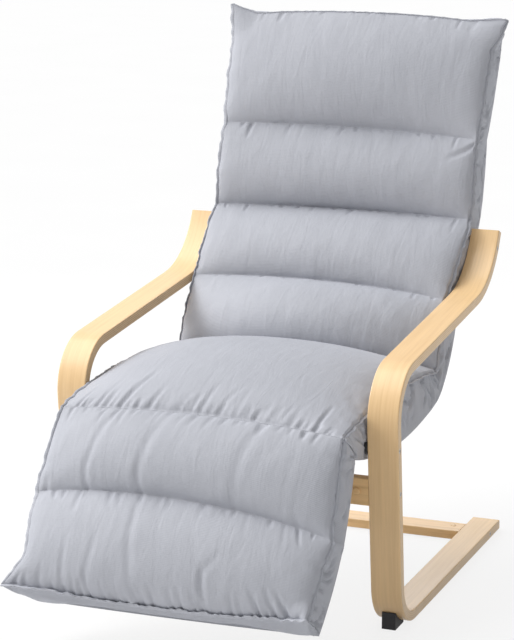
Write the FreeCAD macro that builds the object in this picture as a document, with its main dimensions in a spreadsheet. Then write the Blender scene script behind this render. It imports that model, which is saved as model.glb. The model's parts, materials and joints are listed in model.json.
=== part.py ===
import FreeCAD, Part
import math
import os
import Sketcher

os.makedirs("parts", exist_ok=True)
doc = FreeCAD.newDocument("reflexology_chair")
Vector = FreeCAD.Vector

# A lounge chair for foot treatment. It faces -Y, +Z is up and the floor is Z = 0.
# Two bent plywood side frames carry a steel frame inside a channelled cushion.
# The upper back and the legrest turn on ratchet hinges.

# Driving sizes, in millimetres, degrees and counts
SIZES = (
    ("frame_width", 690),
    ("ply_width", 60),
    ("ply_thickness", 20),
    ("ply_arris", 2.5),
    ("rear_end", 433.2),
    ("runner_length", 673),
    ("leg_lean", 53),
    ("arm_height", 492),
    ("arm_length", 618),
    ("arm_rise", 62),
    ("arm_tip_set", 52),
    ("arm_tip_rise", 105),
    ("foot_bend_radius", 82),
    ("arm_front_radius", 91),
    ("arm_rear_radius", 193),
    ("glide_thickness", 2),
    ("glide_width", 24),
    ("glide_length", 40),
    ("glide_inset", 15),
    ("foot_width", 27),
    ("foot_length", 50),
    ("foot_height", 33),
    ("foot_reach", 72),
    ("foot_fit", 0.3),
    ("rail_height", 277),
    ("rail_depth", 54),
    ("rail_thickness", 19),
    ("crossbar_width", 60),
    ("crossbar_thickness", 19),
    ("crossbar_inset", 80),
    ("front_tube_height", 362),
    ("front_tube_bore", 21),
    ("front_tube_diameter", 25),
    ("arm_tube_inset", 36),
    ("arm_tube_bore", 18.5),
    ("arm_tube_diameter", 22),
    ("tube_diameter", 19),
    ("tube_bore", 16),
    ("tube_inset", 50),
    ("weld_seat", 1.2),
    ("corner_tube_setback", 78),
    ("seat_bend_radius", 62),
    ("lower_back_angle", 40),
    ("back_hinge_rise", 46),
    ("legrest_hinge_reach", 78),
    ("ratchet_step", 7.5),
    ("back_rest_steps", 3),
    ("legrest_rest_steps", 8),
    ("back_steps_down", 3),
    ("back_steps_up", 4),
    ("legrest_steps_down", 2),
    ("legrest_steps_up", 8),
    ("back_loop_height", 416),
    ("back_loop_radius", 62),
    ("legrest_loop_length", 292),
    ("legrest_loop_radius", 52),
    ("tube_setback", 50),
    ("wheel_radius", 24),
    ("wheel_thickness", 4),
    ("tooth_depth", 1.8),
    ("tooth_slope_share", 0.8),
    ("wheel_tang_width", 15),
    ("tang_end", 74),
    ("cheek_thickness", 2.5),
    ("cheek_gap", 0.2),
    ("cheek_radius", 27),
    ("cheek_neck_radius", 15.5),
    ("cheek_neck_reach", 33.5),
    ("cheek_tang_width", 11.6),
    ("rivet_diameter", 8),
    ("rivet_head_diameter", 14),
    ("rivet_head_height", 2.2),
    ("running_fit", 0.05),
    ("pawl_pivot_radius", 29.8),
    ("pawl_pivot_angle", 30),
    ("pawl_tip_angle", -12),
    ("pawl_tip_clearance", 0.25),
    ("pawl_lift", 8.5),
    ("pawl_pin_diameter", 5),
    ("pawl_eye_width", 9.6),
    ("pawl_eye_height", 9.6),
    ("pawl_corner", 1.5),
    ("pawl_nose_height", 28),
    ("pawl_heel_height", 25.8),
    ("pawl_heel_angle", -4.5),
    ("pawl_play", 0.1),
    ("leaf_thickness", 0.8),
    ("leaf_root_reach", 58),
    ("leaf_bow_reach", 45),
    ("leaf_bow_set", 7.5),
    ("leaf_tip_reach", 31.2),
    ("leaf_tip_set", 4),
    ("leaf_play", 0.1),
    ("web_width", 50),
    ("web_thickness", 1.6),
    ("web_fit", 0.3),
    ("web_pitch", 68),
    ("seat_web_start", 122),
    ("lower_back_web_start", 112),
    ("upper_back_web_start", 108),
    ("legrest_web_start", 94),
    ("bolt_diameter", 6),
    ("bolt_hole_diameter", 6.4),
    ("bolt_head_diameter", 10),
    ("bolt_head_height", 4),
    ("bolt_recess_diameter", 11),
    ("bolt_recess_depth", 4.5),
    ("bolt_reach", 30),
    ("bolt_socket_diameter", 4.6),
    ("bolt_socket_depth", 2.4),
    ("crossbar_bolt_inset", 72),
    ("plug_length", 22),
    ("plug_fit", 0.05),
    ("dowel_nut_diameter", 10),
    ("dowel_nut_fit", 0.1),
    ("dowel_nut_inset", 22),
    ("dowel_nut_end_gap", 2),
    ("cushion_side_gap", 2),
    ("cushion_side_bulge", 4),
    ("cushion_draw_in", 3),
    ("cushion_flare", 9),
    ("cushion_fit", 0.5),
    ("puff_shoulder", 38),
    ("puff_shoulder_share", 0.8),
    ("edge_swell", 5),
    ("edge_rear", 28),
    ("seam_rear", 34),
    ("crest_rear", 50),
    ("hinge_gap", 13),
    ("hinge_nose", 15),
    ("hinge_nose_crown", 2.5),
    ("back_edge_front", 62),
    ("back_seam_front", 46),
    ("back_crest_front", 88),
    ("back_channel", 196),
    ("back_top", 448),
    ("back_top_front", 44),
    ("back_top_edge_front", 42),
    ("back_top_rear", 39.4),
    ("lower_back_edge_front", 72),
    ("lower_back_seam_front", 66),
    ("lower_back_crest_front", 100),
    ("lower_back_channel_share", 0.52),
    ("lower_back_end_reach", 17),
    ("lower_back_end_edge_front", 60),
    ("lower_back_end_front", 112),
    ("legrest_edge_front", 60),
    ("legrest_start_front", 54),
    ("legrest_start_edge_front", 44),
    ("legrest_seam_front", 74),
    ("legrest_crest_front", 93),
    ("legrest_foot_front", 48),
    ("legrest_foot_edge_front", 52),
    ("legrest_foot_rear", 22),
    ("legrest_channel", 158),
    ("legrest_end", 336),
    ("seat_start_top", 46),
    ("seat_start_edge_top", 36),
    ("seat_crest", 98),
    ("seat_edge_top", 54),
    ("seat_crease_top", 76),
    ("seat_crease_edge_top", 34),
    ("seat_rear_reach", 8),
    ("seat_bottom", 48),
    ("seat_bottom_crown", 5),
    ("seat_rear_bottom", 46),
    ("knee_radius", 38),
    ("fixed_pocket_radius", 39),
    ("moving_pocket_radius", 46),
    ("hinge_pocket_half", 17),
    ("overrun", 5),
)

sheet = doc.addObject("Spreadsheet::Sheet", "Sizes")
for row, (alias, number) in enumerate(SIZES, start=1):
    sheet.set("A%d" % row, alias)
    sheet.set("B%d" % row, str(number))
    sheet.setAlias("B%d" % row, alias)
doc.recompute()


class Size:
    """A number read from the sheet, with the expression that gives it."""

    def __init__(self, value, text):
        self.value = float(value)
        self.text = text

    def join(self, other, sign, value, swapped=False):
        other_text = other.text if isinstance(other, Size) else repr(float(other))
        left, right = (other_text, self.text) if swapped else (self.text, other_text)
        return Size(value, "(%s %s %s)" % (left, sign, right))

    def __add__(self, other):
        return self.join(other, "+", self.value + number_of(other))

    def __radd__(self, other):
        return self.join(other, "+", self.value + number_of(other), True)

    def __sub__(self, other):
        return self.join(other, "-", self.value - number_of(other))

    def __rsub__(self, other):
        return self.join(other, "-", number_of(other) - self.value, True)

    def __mul__(self, other):
        return self.join(other, "*", self.value * number_of(other))

    def __rmul__(self, other):
        return self.join(other, "*", self.value * number_of(other), True)

    def __truediv__(self, other):
        return self.join(other, "/", self.value / number_of(other))

    def __neg__(self):
        return Size(-self.value, "(0 - %s)" % self.text)


def number_of(size):
    return size.value if isinstance(size, Size) else float(size)


def sine(angle):
    return Size(math.sin(math.radians(angle.value)), "sin(%s)" % angle.text)


def cosine(angle):
    return Size(math.cos(math.radians(angle.value)), "cos(%s)" % angle.text)


def root(square):
    return Size(math.sqrt(square.value), "sqrt(%s)" % square.text)


def whole(number):
    return Size(math.floor(number.value), "floor(%s)" % number.text)


class Sheet:
    """Gives each alias of the sheet as a Size."""

    def __getattr__(self, alias):
        return Size(sheet.get(alias), "Sizes." + alias)


s = Sheet()
ZERO = Size(0, "0")


# Places that several pieces share, as (Y, Z) pairs in the middle plane of the chair
half_frame = s.frame_width / 2
inner_face = half_frame - s.ply_width
frame_centre = half_frame - s.ply_width / 2
tube_spread = inner_face - s.tube_inset
runner_z = s.glide_thickness + s.ply_thickness / 2
foot_corner = (s.rear_end - s.runner_length, runner_z)
arm_front = (foot_corner[0] - s.leg_lean, s.arm_height + s.glide_thickness)
arm_rear = (arm_front[0] + s.arm_length, arm_front[1] + s.arm_rise)
arm_tip = (arm_rear[0] + s.arm_tip_set, arm_rear[1] + s.arm_tip_rise)


def on_leg(height):
    """The point of the leg's centre line at a height over the floor."""
    share = (height - runner_z) / (arm_front[1] - runner_z)
    return (foot_corner[0] - s.leg_lean * share, height)


tip_length = root(s.arm_tip_set * s.arm_tip_set + s.arm_tip_rise * s.arm_tip_rise)
arm_tube = (arm_tip[0] - s.arm_tube_inset * s.arm_tip_set / tip_length,
            arm_tip[1] - s.arm_tube_inset * s.arm_tip_rise / tip_length)
front_tube = on_leg(s.front_tube_height)
front_rail = on_leg(s.rail_height)
leg_slope = s.leg_lean / (arm_front[1] - runner_z)
leg_tilt = Size(math.degrees(math.atan(leg_slope.value)), "atan(%s)" % leg_slope.text)

seat_line = front_tube[1] + (s.front_tube_diameter + s.tube_diameter) / 2 - s.weld_seat
legrest_hinge = (front_tube[0] - s.legrest_hinge_reach, seat_line)
back_sine = sine(s.lower_back_angle)
back_cosine = cosine(s.lower_back_angle)
back_offset = (s.arm_tube_diameter + s.tube_diameter) / 2 - s.weld_seat
seat_corner = (arm_tube[0] + (back_offset + (seat_line - arm_tube[1]) * back_sine) / back_cosine,
               seat_line)
back_hinge = (arm_tube[0] + back_offset * back_cosine + s.back_hinge_rise * back_sine,
              arm_tube[1] - back_offset * back_sine + s.back_hinge_rise * back_cosine)
corner_tube = (seat_corner[0] - s.corner_tube_setback,
               seat_line - s.tube_diameter + s.weld_seat)
lower_tilt = -s.lower_back_angle
upper_tilt = s.back_rest_steps * s.ratchet_step - s.lower_back_angle
legrest_tilt = s.legrest_rest_steps * s.ratchet_step - 90
half_tube = s.tube_diameter / 2
half_web = half_tube + s.web_fit + s.web_thickness
back_rise = (back_hinge[0] - seat_corner[0], back_hinge[1] - seat_corner[1])
lower_back_length = root(back_rise[0] * back_rise[0] + back_rise[1] * back_rise[1])
half_turn = Size(45 - s.lower_back_angle.value / 2, "(45 - %s / 2)" % s.lower_back_angle.text)
seat_bend_setback = s.seat_bend_radius * sine(half_turn) / cosine(half_turn)


def web_count(start, length):
    """How many bands fit between a start and a length along the tubes."""
    return whole((length - start - s.web_width) / s.web_pitch) + 1


seat_web_count = web_count(s.seat_web_start, corner_tube[0] - legrest_hinge[0] - half_tube)
lower_back_web_count = web_count(s.lower_back_web_start, lower_back_length - seat_bend_setback)
upper_back_web_count = web_count(s.upper_back_web_start, s.back_loop_height - half_tube)
legrest_web_count = web_count(s.legrest_web_start, s.legrest_loop_length - half_tube)


# Helpers for bodies, sketches and features
def new_body(name, x=ZERO, place=(ZERO, ZERO), tilt=None):
    """A body at X and a (Y, Z) place, turned about X by the tilt in degrees."""
    body = doc.addObject("PartDesign::Body", name)
    body.Label = name
    turn = FreeCAD.Rotation(Vector(1, 0, 0), tilt.value if tilt else 0)
    body.Placement = FreeCAD.Placement(Vector(x.value, place[0].value, place[1].value), turn)
    body.setExpression("Placement.Base.x", x.text)
    body.setExpression("Placement.Base.y", place[0].text)
    body.setExpression("Placement.Base.z", place[1].text)
    if tilt:
        body.Placement.Rotation = FreeCAD.Rotation(Vector(1, 0, 0), tilt.value)
    return body


def origin_feature(body, role):
    return [item for item in body.Origin.OriginFeatures if item.Role == role][0]


def new_sketch(body, plane, offset=None):
    """A sketch on one of the body's own origin planes, moved along its normal."""
    sketch = body.newObject("Sketcher::SketchObject", body.Name + "_sketch")
    sketch.AttachmentSupport = [(origin_feature(body, plane), "")]
    sketch.MapMode = "FlatFace"
    if offset is not None:
        sketch.AttachmentOffset = FreeCAD.Placement(Vector(0, 0, offset.value), FreeCAD.Rotation())
        sketch.setExpression("AttachmentOffset.Base.z", offset.text)
    return sketch


def drive(sketch, constraint, size):
    index = sketch.addConstraint(constraint)
    sketch.setExpression("Constraints[%d]" % index, size.text)


def pin(sketch, geometry, position, corner):
    """Holds a sketch point at the two sizes of the corner."""
    for kind, axis, size in (("DistanceX", -2, corner[0]), ("DistanceY", -1, corner[1])):
        if abs(size.value) < 1e-9:
            sketch.addConstraint(Sketcher.Constraint("PointOnObject", geometry, position, axis))
        else:
            drive(sketch, Sketcher.Constraint(kind, -1, 1, geometry, position, size.value), size)


def add_circle(sketch, centre, radius):
    middle = Vector(centre[0].value, centre[1].value, 0)
    circle = sketch.addGeometry(Part.Circle(middle, Vector(0, 0, 1), radius.value))
    pin(sketch, circle, 3, centre)
    drive(sketch, Sketcher.Constraint("Radius", circle, radius.value), radius)


def add_chain(sketch, corners, radii, closed):
    """Lines from corner to corner, with a tangent arc where a corner has a radius."""
    count = len(corners)
    points = [Vector(across.value, up.value, 0) for across, up in corners]
    setback = [0.0] * count
    for index, radius in enumerate(radii):
        if radius is not None:
            to_last = (points[index - 1] - points[index]).normalize()
            to_next = (points[(index + 1) % count] - points[index]).normalize()
            setback[index] = radius.value / math.tan(to_last.getAngle(to_next) / 2)
    lines = []
    for index in range(count if closed else count - 1):
        following = (index + 1) % count
        along = (points[following] - points[index]).normalize()
        start = points[index] + along * setback[index]
        end = points[following] - along * setback[following]
        lines.append(sketch.addGeometry(Part.LineSegment(start, end)))
    for index, radius in enumerate(radii):
        if not closed and index in (0, count - 1):
            line, position = (lines[0], 1) if index == 0 else (lines[-1], 2)
            pin(sketch, line, position, corners[index])
        elif radius is None:
            sketch.addConstraint(Sketcher.Constraint("Coincident", lines[index - 1], 2, lines[index], 1))
            pin(sketch, lines[index], 1, corners[index])
        else:
            add_corner_arc(sketch, points, index, radius, setback[index], lines)
            corner_point = sketch.addGeometry(Part.Point(points[index]), True)
            pin(sketch, corner_point, 1, corners[index])
            for line in (lines[index - 1], lines[index]):
                sketch.addConstraint(Sketcher.Constraint("PointOnObject", corner_point, 1, line))


def add_corner_arc(sketch, points, index, radius, setback, lines):
    corner = points[index]
    to_last = (points[index - 1] - corner).normalize()
    to_next = (points[(index + 1) % len(points)] - corner).normalize()
    middle = (to_last + to_next).normalize()
    centre = corner + middle * math.hypot(radius.value, setback)
    first = corner + to_last * setback - centre
    second = corner + to_next * setback - centre
    left_turn = first.x * second.y - first.y * second.x > 0
    if not left_turn:
        first, second = second, first
    circle = Part.Circle(centre, Vector(0, 0, 1), radius.value)
    start_angle = math.atan2(first.y, first.x)
    end_angle = math.atan2(second.y, second.x)
    arc = sketch.addGeometry(Part.ArcOfCircle(circle, start_angle, end_angle))
    near, far = (1, 2) if left_turn else (2, 1)
    sketch.addConstraint(Sketcher.Constraint("Tangent", lines[index - 1], 2, arc, near))
    sketch.addConstraint(Sketcher.Constraint("Tangent", arc, far, lines[index], 1))
    drive(sketch, Sketcher.Constraint("Radius", arc, radius.value), radius)


def add_box_outline(sketch, half_across, half_up, centre=(ZERO, ZERO), radius=None):
    corners = [(centre[0] + half_across * across, centre[1] + half_up * up)
               for across, up in ((-1, -1), (1, -1), (1, 1), (-1, 1))]
    add_chain(sketch, corners, [radius] * 4, True)


def pad(body, sketch, length, symmetric=True, reverse=False):
    feature = body.newObject("PartDesign::Pad", body.Name + "_pad")
    feature.Profile = sketch
    feature.SideType = "Symmetric" if symmetric else "One side"
    feature.Reversed = reverse
    feature.setExpression("Length", length.text)
    return feature


def pocket(body, sketch, length, symmetric=True, reverse=False):
    feature = body.newObject("PartDesign::Pocket", body.Name + "_pocket")
    feature.Profile = sketch
    feature.SideType = "Symmetric" if symmetric else "One side"
    feature.Reversed = reverse
    feature.setExpression("Length", length.text)
    return feature


def revolve(body, sketch):
    feature = body.newObject("PartDesign::Revolution", body.Name + "_turned")
    feature.Profile = sketch
    feature.ReferenceAxis = (origin_feature(body, "X_Axis"), [""])
    feature.Angle = 360
    return feature


def mirror_left(body, features):
    feature = body.newObject("PartDesign::Mirrored", body.Name + "_pair")
    feature.Originals = features
    feature.MirrorPlane = (origin_feature(body, "YZ_Plane"), [""])
    body.Tip = feature
    return feature


def pipe(body, profile, path):
    feature = body.newObject("PartDesign::AdditivePipe", body.Name + "_pipe")
    feature.Profile = profile
    feature.Spine = (path, ["Edge%d" % (index + 1) for index in range(path_edges(path))])
    return feature


def path_edges(path):
    return len([item for index, item in enumerate(path.Geometry) if not path.getConstruction(index)])


def turned_pair(name, place, profile):
    """Two equal turned pieces, left and right, from one half profile of (X, radius)."""
    body = new_body(name, ZERO, place)
    sketch = new_sketch(body, "XZ_Plane")
    add_chain(sketch, profile, [None] * len(profile), True)
    mirror_left(body, [revolve(body, sketch)])
    return body


# Bent plywood side frames: arm, front bend, leg and floor runner in one ribbon
def make_side_frame(name, side):
    body = new_body(name, frame_centre * side)
    path = new_sketch(body, "YZ_Plane")
    corners = [(s.rear_end, runner_z), foot_corner, arm_front, arm_rear, arm_tip]
    add_chain(path, corners,
              [None, s.foot_bend_radius, s.arm_front_radius, s.arm_rear_radius, None], False)
    profile = new_sketch(body, "XZ_Plane", -s.rear_end)
    add_box_outline(profile, s.ply_width / 2, s.ply_thickness / 2, (ZERO, runner_z), s.ply_arris)
    doc.recompute()
    pipe(body, profile, path)
    bolt_places = (arm_tube, front_tube, front_rail, crossbar_bolt)
    holes = new_sketch(body, "YZ_Plane")
    for place in bolt_places:
        add_circle(holes, place, s.bolt_hole_diameter / 2)
    pocket(body, holes, s.ply_width + s.overrun)
    recesses = new_sketch(body, "YZ_Plane", s.ply_width / 2 * side)
    for place in bolt_places:
        add_circle(recesses, place, s.bolt_recess_diameter / 2)
    pocket(body, recesses, s.bolt_recess_depth * 2)
    return body


crossbar_bolt = (s.rear_end - s.crossbar_bolt_inset, runner_z)


# Wooden front rail between the legs and flat crossbar between the runners
def make_front_rail():
    body = new_body("front_rail", ZERO, front_rail, leg_tilt)
    sketch = new_sketch(body, "YZ_Plane")
    add_box_outline(sketch, s.rail_thickness / 2, s.rail_depth / 2, (ZERO, ZERO), s.ply_arris)
    pad(body, sketch, inner_face * 2)
    bore_for_bolt(body, (ZERO, ZERO))
    nut_holes = new_sketch(body, "XZ_Plane")
    for side in (-1, 1):
        add_circle(nut_holes, (dowel_nut_x * side, ZERO), s.dowel_nut_diameter / 2 + s.dowel_nut_fit)
    pocket(body, nut_holes, s.rail_thickness + s.overrun)
    return body


def make_floor_crossbar():
    centre = (s.rear_end - s.crossbar_inset, runner_z)
    body = new_body("floor_crossbar", ZERO, centre)
    sketch = new_sketch(body, "YZ_Plane")
    add_box_outline(sketch, s.crossbar_width / 2, s.crossbar_thickness / 2, (ZERO, ZERO), s.ply_arris)
    pad(body, sketch, inner_face * 2)
    bolt_offset = s.crossbar_inset - s.crossbar_bolt_inset
    bore_for_bolt(body, (bolt_offset, ZERO))
    nut_holes = new_sketch(body, "XY_Plane")
    for side in (-1, 1):
        add_circle(nut_holes, (dowel_nut_x * side, bolt_offset), s.dowel_nut_diameter / 2 + s.dowel_nut_fit)
    pocket(body, nut_holes, s.crossbar_thickness + s.overrun)
    return body


dowel_nut_x = inner_face - s.dowel_nut_inset


def bore_for_bolt(body, place):
    """The bolt's hole runs in from each end of a wooden rail."""
    for side in (-1, 1):
        sketch = new_sketch(body, "YZ_Plane", inner_face * side)
        add_circle(sketch, place, s.bolt_hole_diameter / 2)
        pocket(body, sketch, (s.bolt_reach + s.overrun) * 2)


def make_dowel_nuts(name, place, tilt, plane, thickness):
    """Round cross nuts in a wooden rail, each with its threaded hole along X."""
    body = new_body(name, ZERO, place, tilt)
    sketch = new_sketch(body, plane)
    add_circle(sketch, (dowel_nut_x, ZERO), s.dowel_nut_diameter / 2)
    nut = pad(body, sketch, thickness - s.dowel_nut_end_gap)
    hole_sketch = new_sketch(body, "YZ_Plane", dowel_nut_x)
    add_circle(hole_sketch, (ZERO, ZERO), s.bolt_diameter / 2 + s.running_fit)
    hole = pocket(body, hole_sketch, s.dowel_nut_diameter + s.overrun)
    mirror_left(body, [nut, hole])
    return body


# Feet: a black block fills the wedge under each front bend, flat glides lie at the rear
leg_rise = arm_front[1] - runner_z
leg_length = root(leg_rise * leg_rise + s.leg_lean * s.leg_lean)
bend_setback = s.foot_bend_radius * (leg_length - s.leg_lean) / leg_rise
bend_centre = (foot_corner[0] + bend_setback, runner_z + s.foot_bend_radius)


def make_front_foot(name, side):
    body = new_body(name, frame_centre * side)
    sketch = new_sketch(body, "YZ_Plane")
    front = bend_centre[0] - s.foot_reach
    corners = [(front, ZERO), (front + s.foot_length, ZERO),
               (front + s.foot_length, s.foot_height), (front, s.foot_height)]
    add_chain(sketch, corners, [None] * 4, True)
    pad(body, sketch, s.foot_width)
    bend = new_sketch(body, "YZ_Plane")
    add_circle(bend, bend_centre, s.foot_bend_radius + s.ply_thickness / 2 + s.foot_fit)
    pocket(body, bend, s.foot_width + s.overrun)
    return body


def make_rear_glides():
    body = new_body("rear_glides")
    sketch = new_sketch(body, "XY_Plane")
    centre = (frame_centre, s.rear_end - s.glide_inset - s.glide_length / 2)
    add_box_outline(sketch, s.glide_width / 2, s.glide_length / 2, centre)
    mirror_left(body, [pad(body, sketch, s.glide_thickness, False)])
    return body


# Steel frame: cross tubes between the side frames, bent side tubes, loops of tube
def make_cross_tube(name, place, diameter, bore, half_length):
    body = new_body(name, ZERO, place)
    sketch = new_sketch(body, "YZ_Plane")
    add_circle(sketch, (ZERO, ZERO), diameter / 2)
    add_circle(sketch, (ZERO, ZERO), bore / 2)
    pad(body, sketch, half_length * 2)
    return body


def make_seat_side_tube(name, side):
    body = new_body(name, tube_spread * side)
    path = new_sketch(body, "YZ_Plane")
    start = (legrest_hinge[0] + s.tube_setback, seat_line)
    end = (back_hinge[0] - s.tube_setback * back_sine, back_hinge[1] - s.tube_setback * back_cosine)
    add_chain(path, [start, seat_corner, end], [None, s.seat_bend_radius, None], False)
    profile = new_sketch(body, "XZ_Plane", -start[0])
    add_circle(profile, (ZERO, seat_line), half_tube)
    add_circle(profile, (ZERO, seat_line), s.tube_bore / 2)
    doc.recompute()
    pipe(body, profile, path)
    seats = new_sketch(body, "YZ_Plane")
    add_circle(seats, front_tube, s.front_tube_diameter / 2)
    add_circle(seats, arm_tube, s.arm_tube_diameter / 2)
    add_circle(seats, corner_tube, half_tube)
    pocket(body, seats, s.tube_diameter + s.overrun)
    return body


def make_loop(name, place, tilt, reach, length, radius):
    """A U of tube whose open ends meet the hinges; reach is 1 upwards and -1 downwards."""
    body = new_body(name, ZERO, place, tilt)
    start = s.tube_setback * reach
    end = length * reach
    path = new_sketch(body, "XZ_Plane")
    corners = [(-tube_spread, start), (-tube_spread, end), (tube_spread, end), (tube_spread, start)]
    add_chain(path, corners, [None, radius, radius, None], False)
    profile = new_sketch(body, "XY_Plane", start)
    add_circle(profile, (-tube_spread, ZERO), half_tube)
    add_circle(profile, (-tube_spread, ZERO), s.tube_bore / 2)
    doc.recompute()
    pipe(body, profile, path)
    return body


# Elastic webbing: each band goes right round the two side tubes
def make_webbing(name, place, tilt, first, count, direction):
    body = new_body(name, ZERO, place, tilt)
    sketch = new_sketch(body, "XY_Plane", first * direction)
    for grow in (s.web_fit + s.web_thickness, s.web_fit):
        corner = half_tube + grow
        add_box_outline(sketch, tube_spread + corner, corner, (ZERO, ZERO), corner - s.web_fit / 2)
    band = pad(body, sketch, s.web_width, False, direction < 0)
    pattern = body.newObject("PartDesign::LinearPattern", name + "_row")
    pattern.Originals = [band]
    pattern.Direction = (origin_feature(body, "Z_Axis"), [""])
    pattern.Reversed = direction < 0
    pattern.Mode = "Spacing"
    pattern.setExpression("Offset", s.web_pitch.text)
    pattern.setExpression("Occurrences", count.text)
    body.Tip = pattern
    return body


# Ratchet hinges. Angles on a hinge run from the moving tube towards the chair's front.
def polar(radius, angle, reach):
    return (-radius * sine(angle), radius * cosine(angle) * reach)


def less(point, origin):
    return (point[0] - origin[0], point[1] - origin[1])


def along_and_across(direction, length, half_width):
    """A point at a length along a direction and half a width to its side."""
    return (direction[0] * length - direction[1] * half_width,
            direction[1] * length + direction[0] * half_width)


def make_wheel(name, side, place, tilt, reach, tang_direction, steps_down, steps_up):
    """Toothed wheel on the fixed tube; each tooth gap has a steep face and a slope."""
    body = new_body(name, tube_spread * side, place, tilt)
    disc = new_sketch(body, "YZ_Plane")
    add_circle(disc, (ZERO, ZERO), s.wheel_radius)
    pad(body, disc, s.wheel_thickness)
    tang = new_sketch(body, "YZ_Plane")
    half = s.wheel_tang_width / 2
    corners = [along_and_across(tang_direction, length, half * sign)
               for length, sign in ((s.rivet_diameter, -1), (s.tang_end, -1),
                                    (s.tang_end, 1), (s.rivet_diameter, 1))]
    add_chain(tang, corners, [None] * 4, True)
    pad(body, tang, s.wheel_thickness)
    first_angle = s.pawl_tip_angle - steps_down * s.ratchet_step
    gap = new_sketch(body, "YZ_Plane")
    slope_end = first_angle + s.ratchet_step * s.tooth_slope_share
    rim = s.wheel_radius + s.tooth_depth
    gap_corners = [polar(s.wheel_radius - s.tooth_depth, first_angle, reach), polar(rim, first_angle, reach),
                   polar(rim, slope_end, reach), polar(s.wheel_radius, slope_end, reach)]
    add_chain(gap, gap_corners, [None] * 4, True)
    cut = pocket(body, gap, s.wheel_thickness + s.overrun)
    teeth = body.newObject("PartDesign::PolarPattern", name + "_teeth")
    teeth.Originals = [cut]
    teeth.Axis = (origin_feature(body, "X_Axis"), [""])
    teeth.Reversed = reach < 0
    teeth.Mode = "Spacing"
    teeth.setExpression("Offset", s.ratchet_step.text)
    teeth.setExpression("Occurrences", (steps_down + steps_up + 1).text)
    body.Tip = teeth
    bore = new_sketch(body, "YZ_Plane")
    add_circle(bore, (ZERO, ZERO), s.rivet_diameter / 2 + s.running_fit)
    pocket(body, bore, s.wheel_thickness + s.overrun)
    return body


def make_cheek(name, side, outward, place, tilt, reach):
    """A steel plate beside the wheel, with a neck for the pawl and a tang for its tube."""
    offset = (s.wheel_thickness + s.cheek_thickness) / 2 + s.cheek_gap
    body = new_body(name, tube_spread * side + offset * outward, place, tilt)
    disc = new_sketch(body, "YZ_Plane")
    add_circle(disc, (ZERO, ZERO), s.cheek_radius)
    pad(body, disc, s.cheek_thickness)
    slope = (s.cheek_radius - s.cheek_neck_radius) / s.cheek_neck_reach
    rise = root(1 - slope * slope)
    neck = new_sketch(body, "YZ_Plane")
    corners = []
    for radius, start in ((s.cheek_radius, ZERO), (s.cheek_neck_radius, s.cheek_neck_reach)):
        corners.append((radius * rise, (start + radius * slope) * reach))
    outline = corners + [(-across, up) for across, up in reversed(corners)]
    add_chain(neck, outline, [None] * 4, True)
    pad(body, neck, s.cheek_thickness)
    shoulder = new_sketch(body, "YZ_Plane")
    add_circle(shoulder, (ZERO, s.cheek_neck_reach * reach), s.cheek_neck_radius)
    pad(body, shoulder, s.cheek_thickness)
    tang = new_sketch(body, "YZ_Plane")
    middle = (s.cheek_neck_reach + s.tang_end) / 2 * reach
    add_box_outline(tang, s.cheek_tang_width / 2, (s.tang_end - s.cheek_neck_reach) / 2, (ZERO, middle))
    pad(body, tang, s.cheek_thickness)
    bores = new_sketch(body, "YZ_Plane")
    add_circle(bores, (ZERO, ZERO), s.rivet_diameter / 2 + s.running_fit)
    add_circle(bores, polar(s.pawl_pivot_radius, s.pawl_pivot_angle, reach),
               s.pawl_pin_diameter / 2 + s.running_fit)
    pocket(body, bores, s.cheek_thickness + s.overrun)
    return body


def turned_place(place, tilt, point):
    """A point of a frame turned about X by the tilt, as a (Y, Z) place of the chair."""
    return (place[0] + point[0] * cosine(tilt) - point[1] * sine(tilt),
            place[1] + point[0] * sine(tilt) + point[1] * cosine(tilt))


def make_pawl(name, side, place, tilt, reach):
    """The pawl is drawn in the teeth and set at rest just lifted out of them."""
    pivot = polar(s.pawl_pivot_radius, s.pawl_pivot_angle, reach)
    body = new_body(name, tube_spread * side, turned_place(place, tilt, pivot),
                    tilt + s.pawl_lift * reach)
    sketch = new_sketch(body, "YZ_Plane")
    tip_angle = s.pawl_tip_angle + s.pawl_tip_clearance * 2
    tip = s.wheel_radius - s.tooth_depth + s.pawl_tip_clearance
    wide, tall = s.pawl_eye_width / 2, s.pawl_eye_height / 2
    corners = [less(polar(tip, tip_angle, reach), pivot),
               less(polar(s.pawl_nose_height, tip_angle, reach), pivot),
               (wide, tall * reach),
               (-wide, tall * reach),
               (-wide, -tall * reach),
               less(polar(s.pawl_heel_height, s.pawl_heel_angle, reach), pivot)]
    radii = [None, s.pawl_corner, s.pawl_corner, s.pawl_corner, s.pawl_corner, None]
    add_chain(sketch, corners, radii, True)
    pad(body, sketch, s.wheel_thickness - s.pawl_play)
    bore = new_sketch(body, "YZ_Plane")
    add_circle(bore, (ZERO, ZERO), s.pawl_pin_diameter / 2 + s.running_fit)
    pocket(body, bore, s.wheel_thickness + s.overrun)
    return body


def make_leaf_spring(name, side, place, tilt, reach):
    """A bowed leaf between the cheeks that bears on the pawl's back."""
    body = new_body(name, tube_spread * side, place, tilt)
    sketch = new_sketch(body, "YZ_Plane")
    thick = s.leaf_thickness
    outer = [(ZERO, s.leaf_root_reach), (s.leaf_bow_set, s.leaf_bow_reach),
             (s.leaf_tip_set, s.leaf_tip_reach)]
    inner = [(across - thick, up) for across, up in reversed(outer)]
    corners = [(across, up * reach) for across, up in outer + inner]
    add_chain(sketch, corners, [None, s.pawl_corner, None, None, s.pawl_corner, None], True)
    pad(body, sketch, s.wheel_thickness + s.cheek_gap * 2 - s.leaf_play * 2)
    return body


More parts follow.
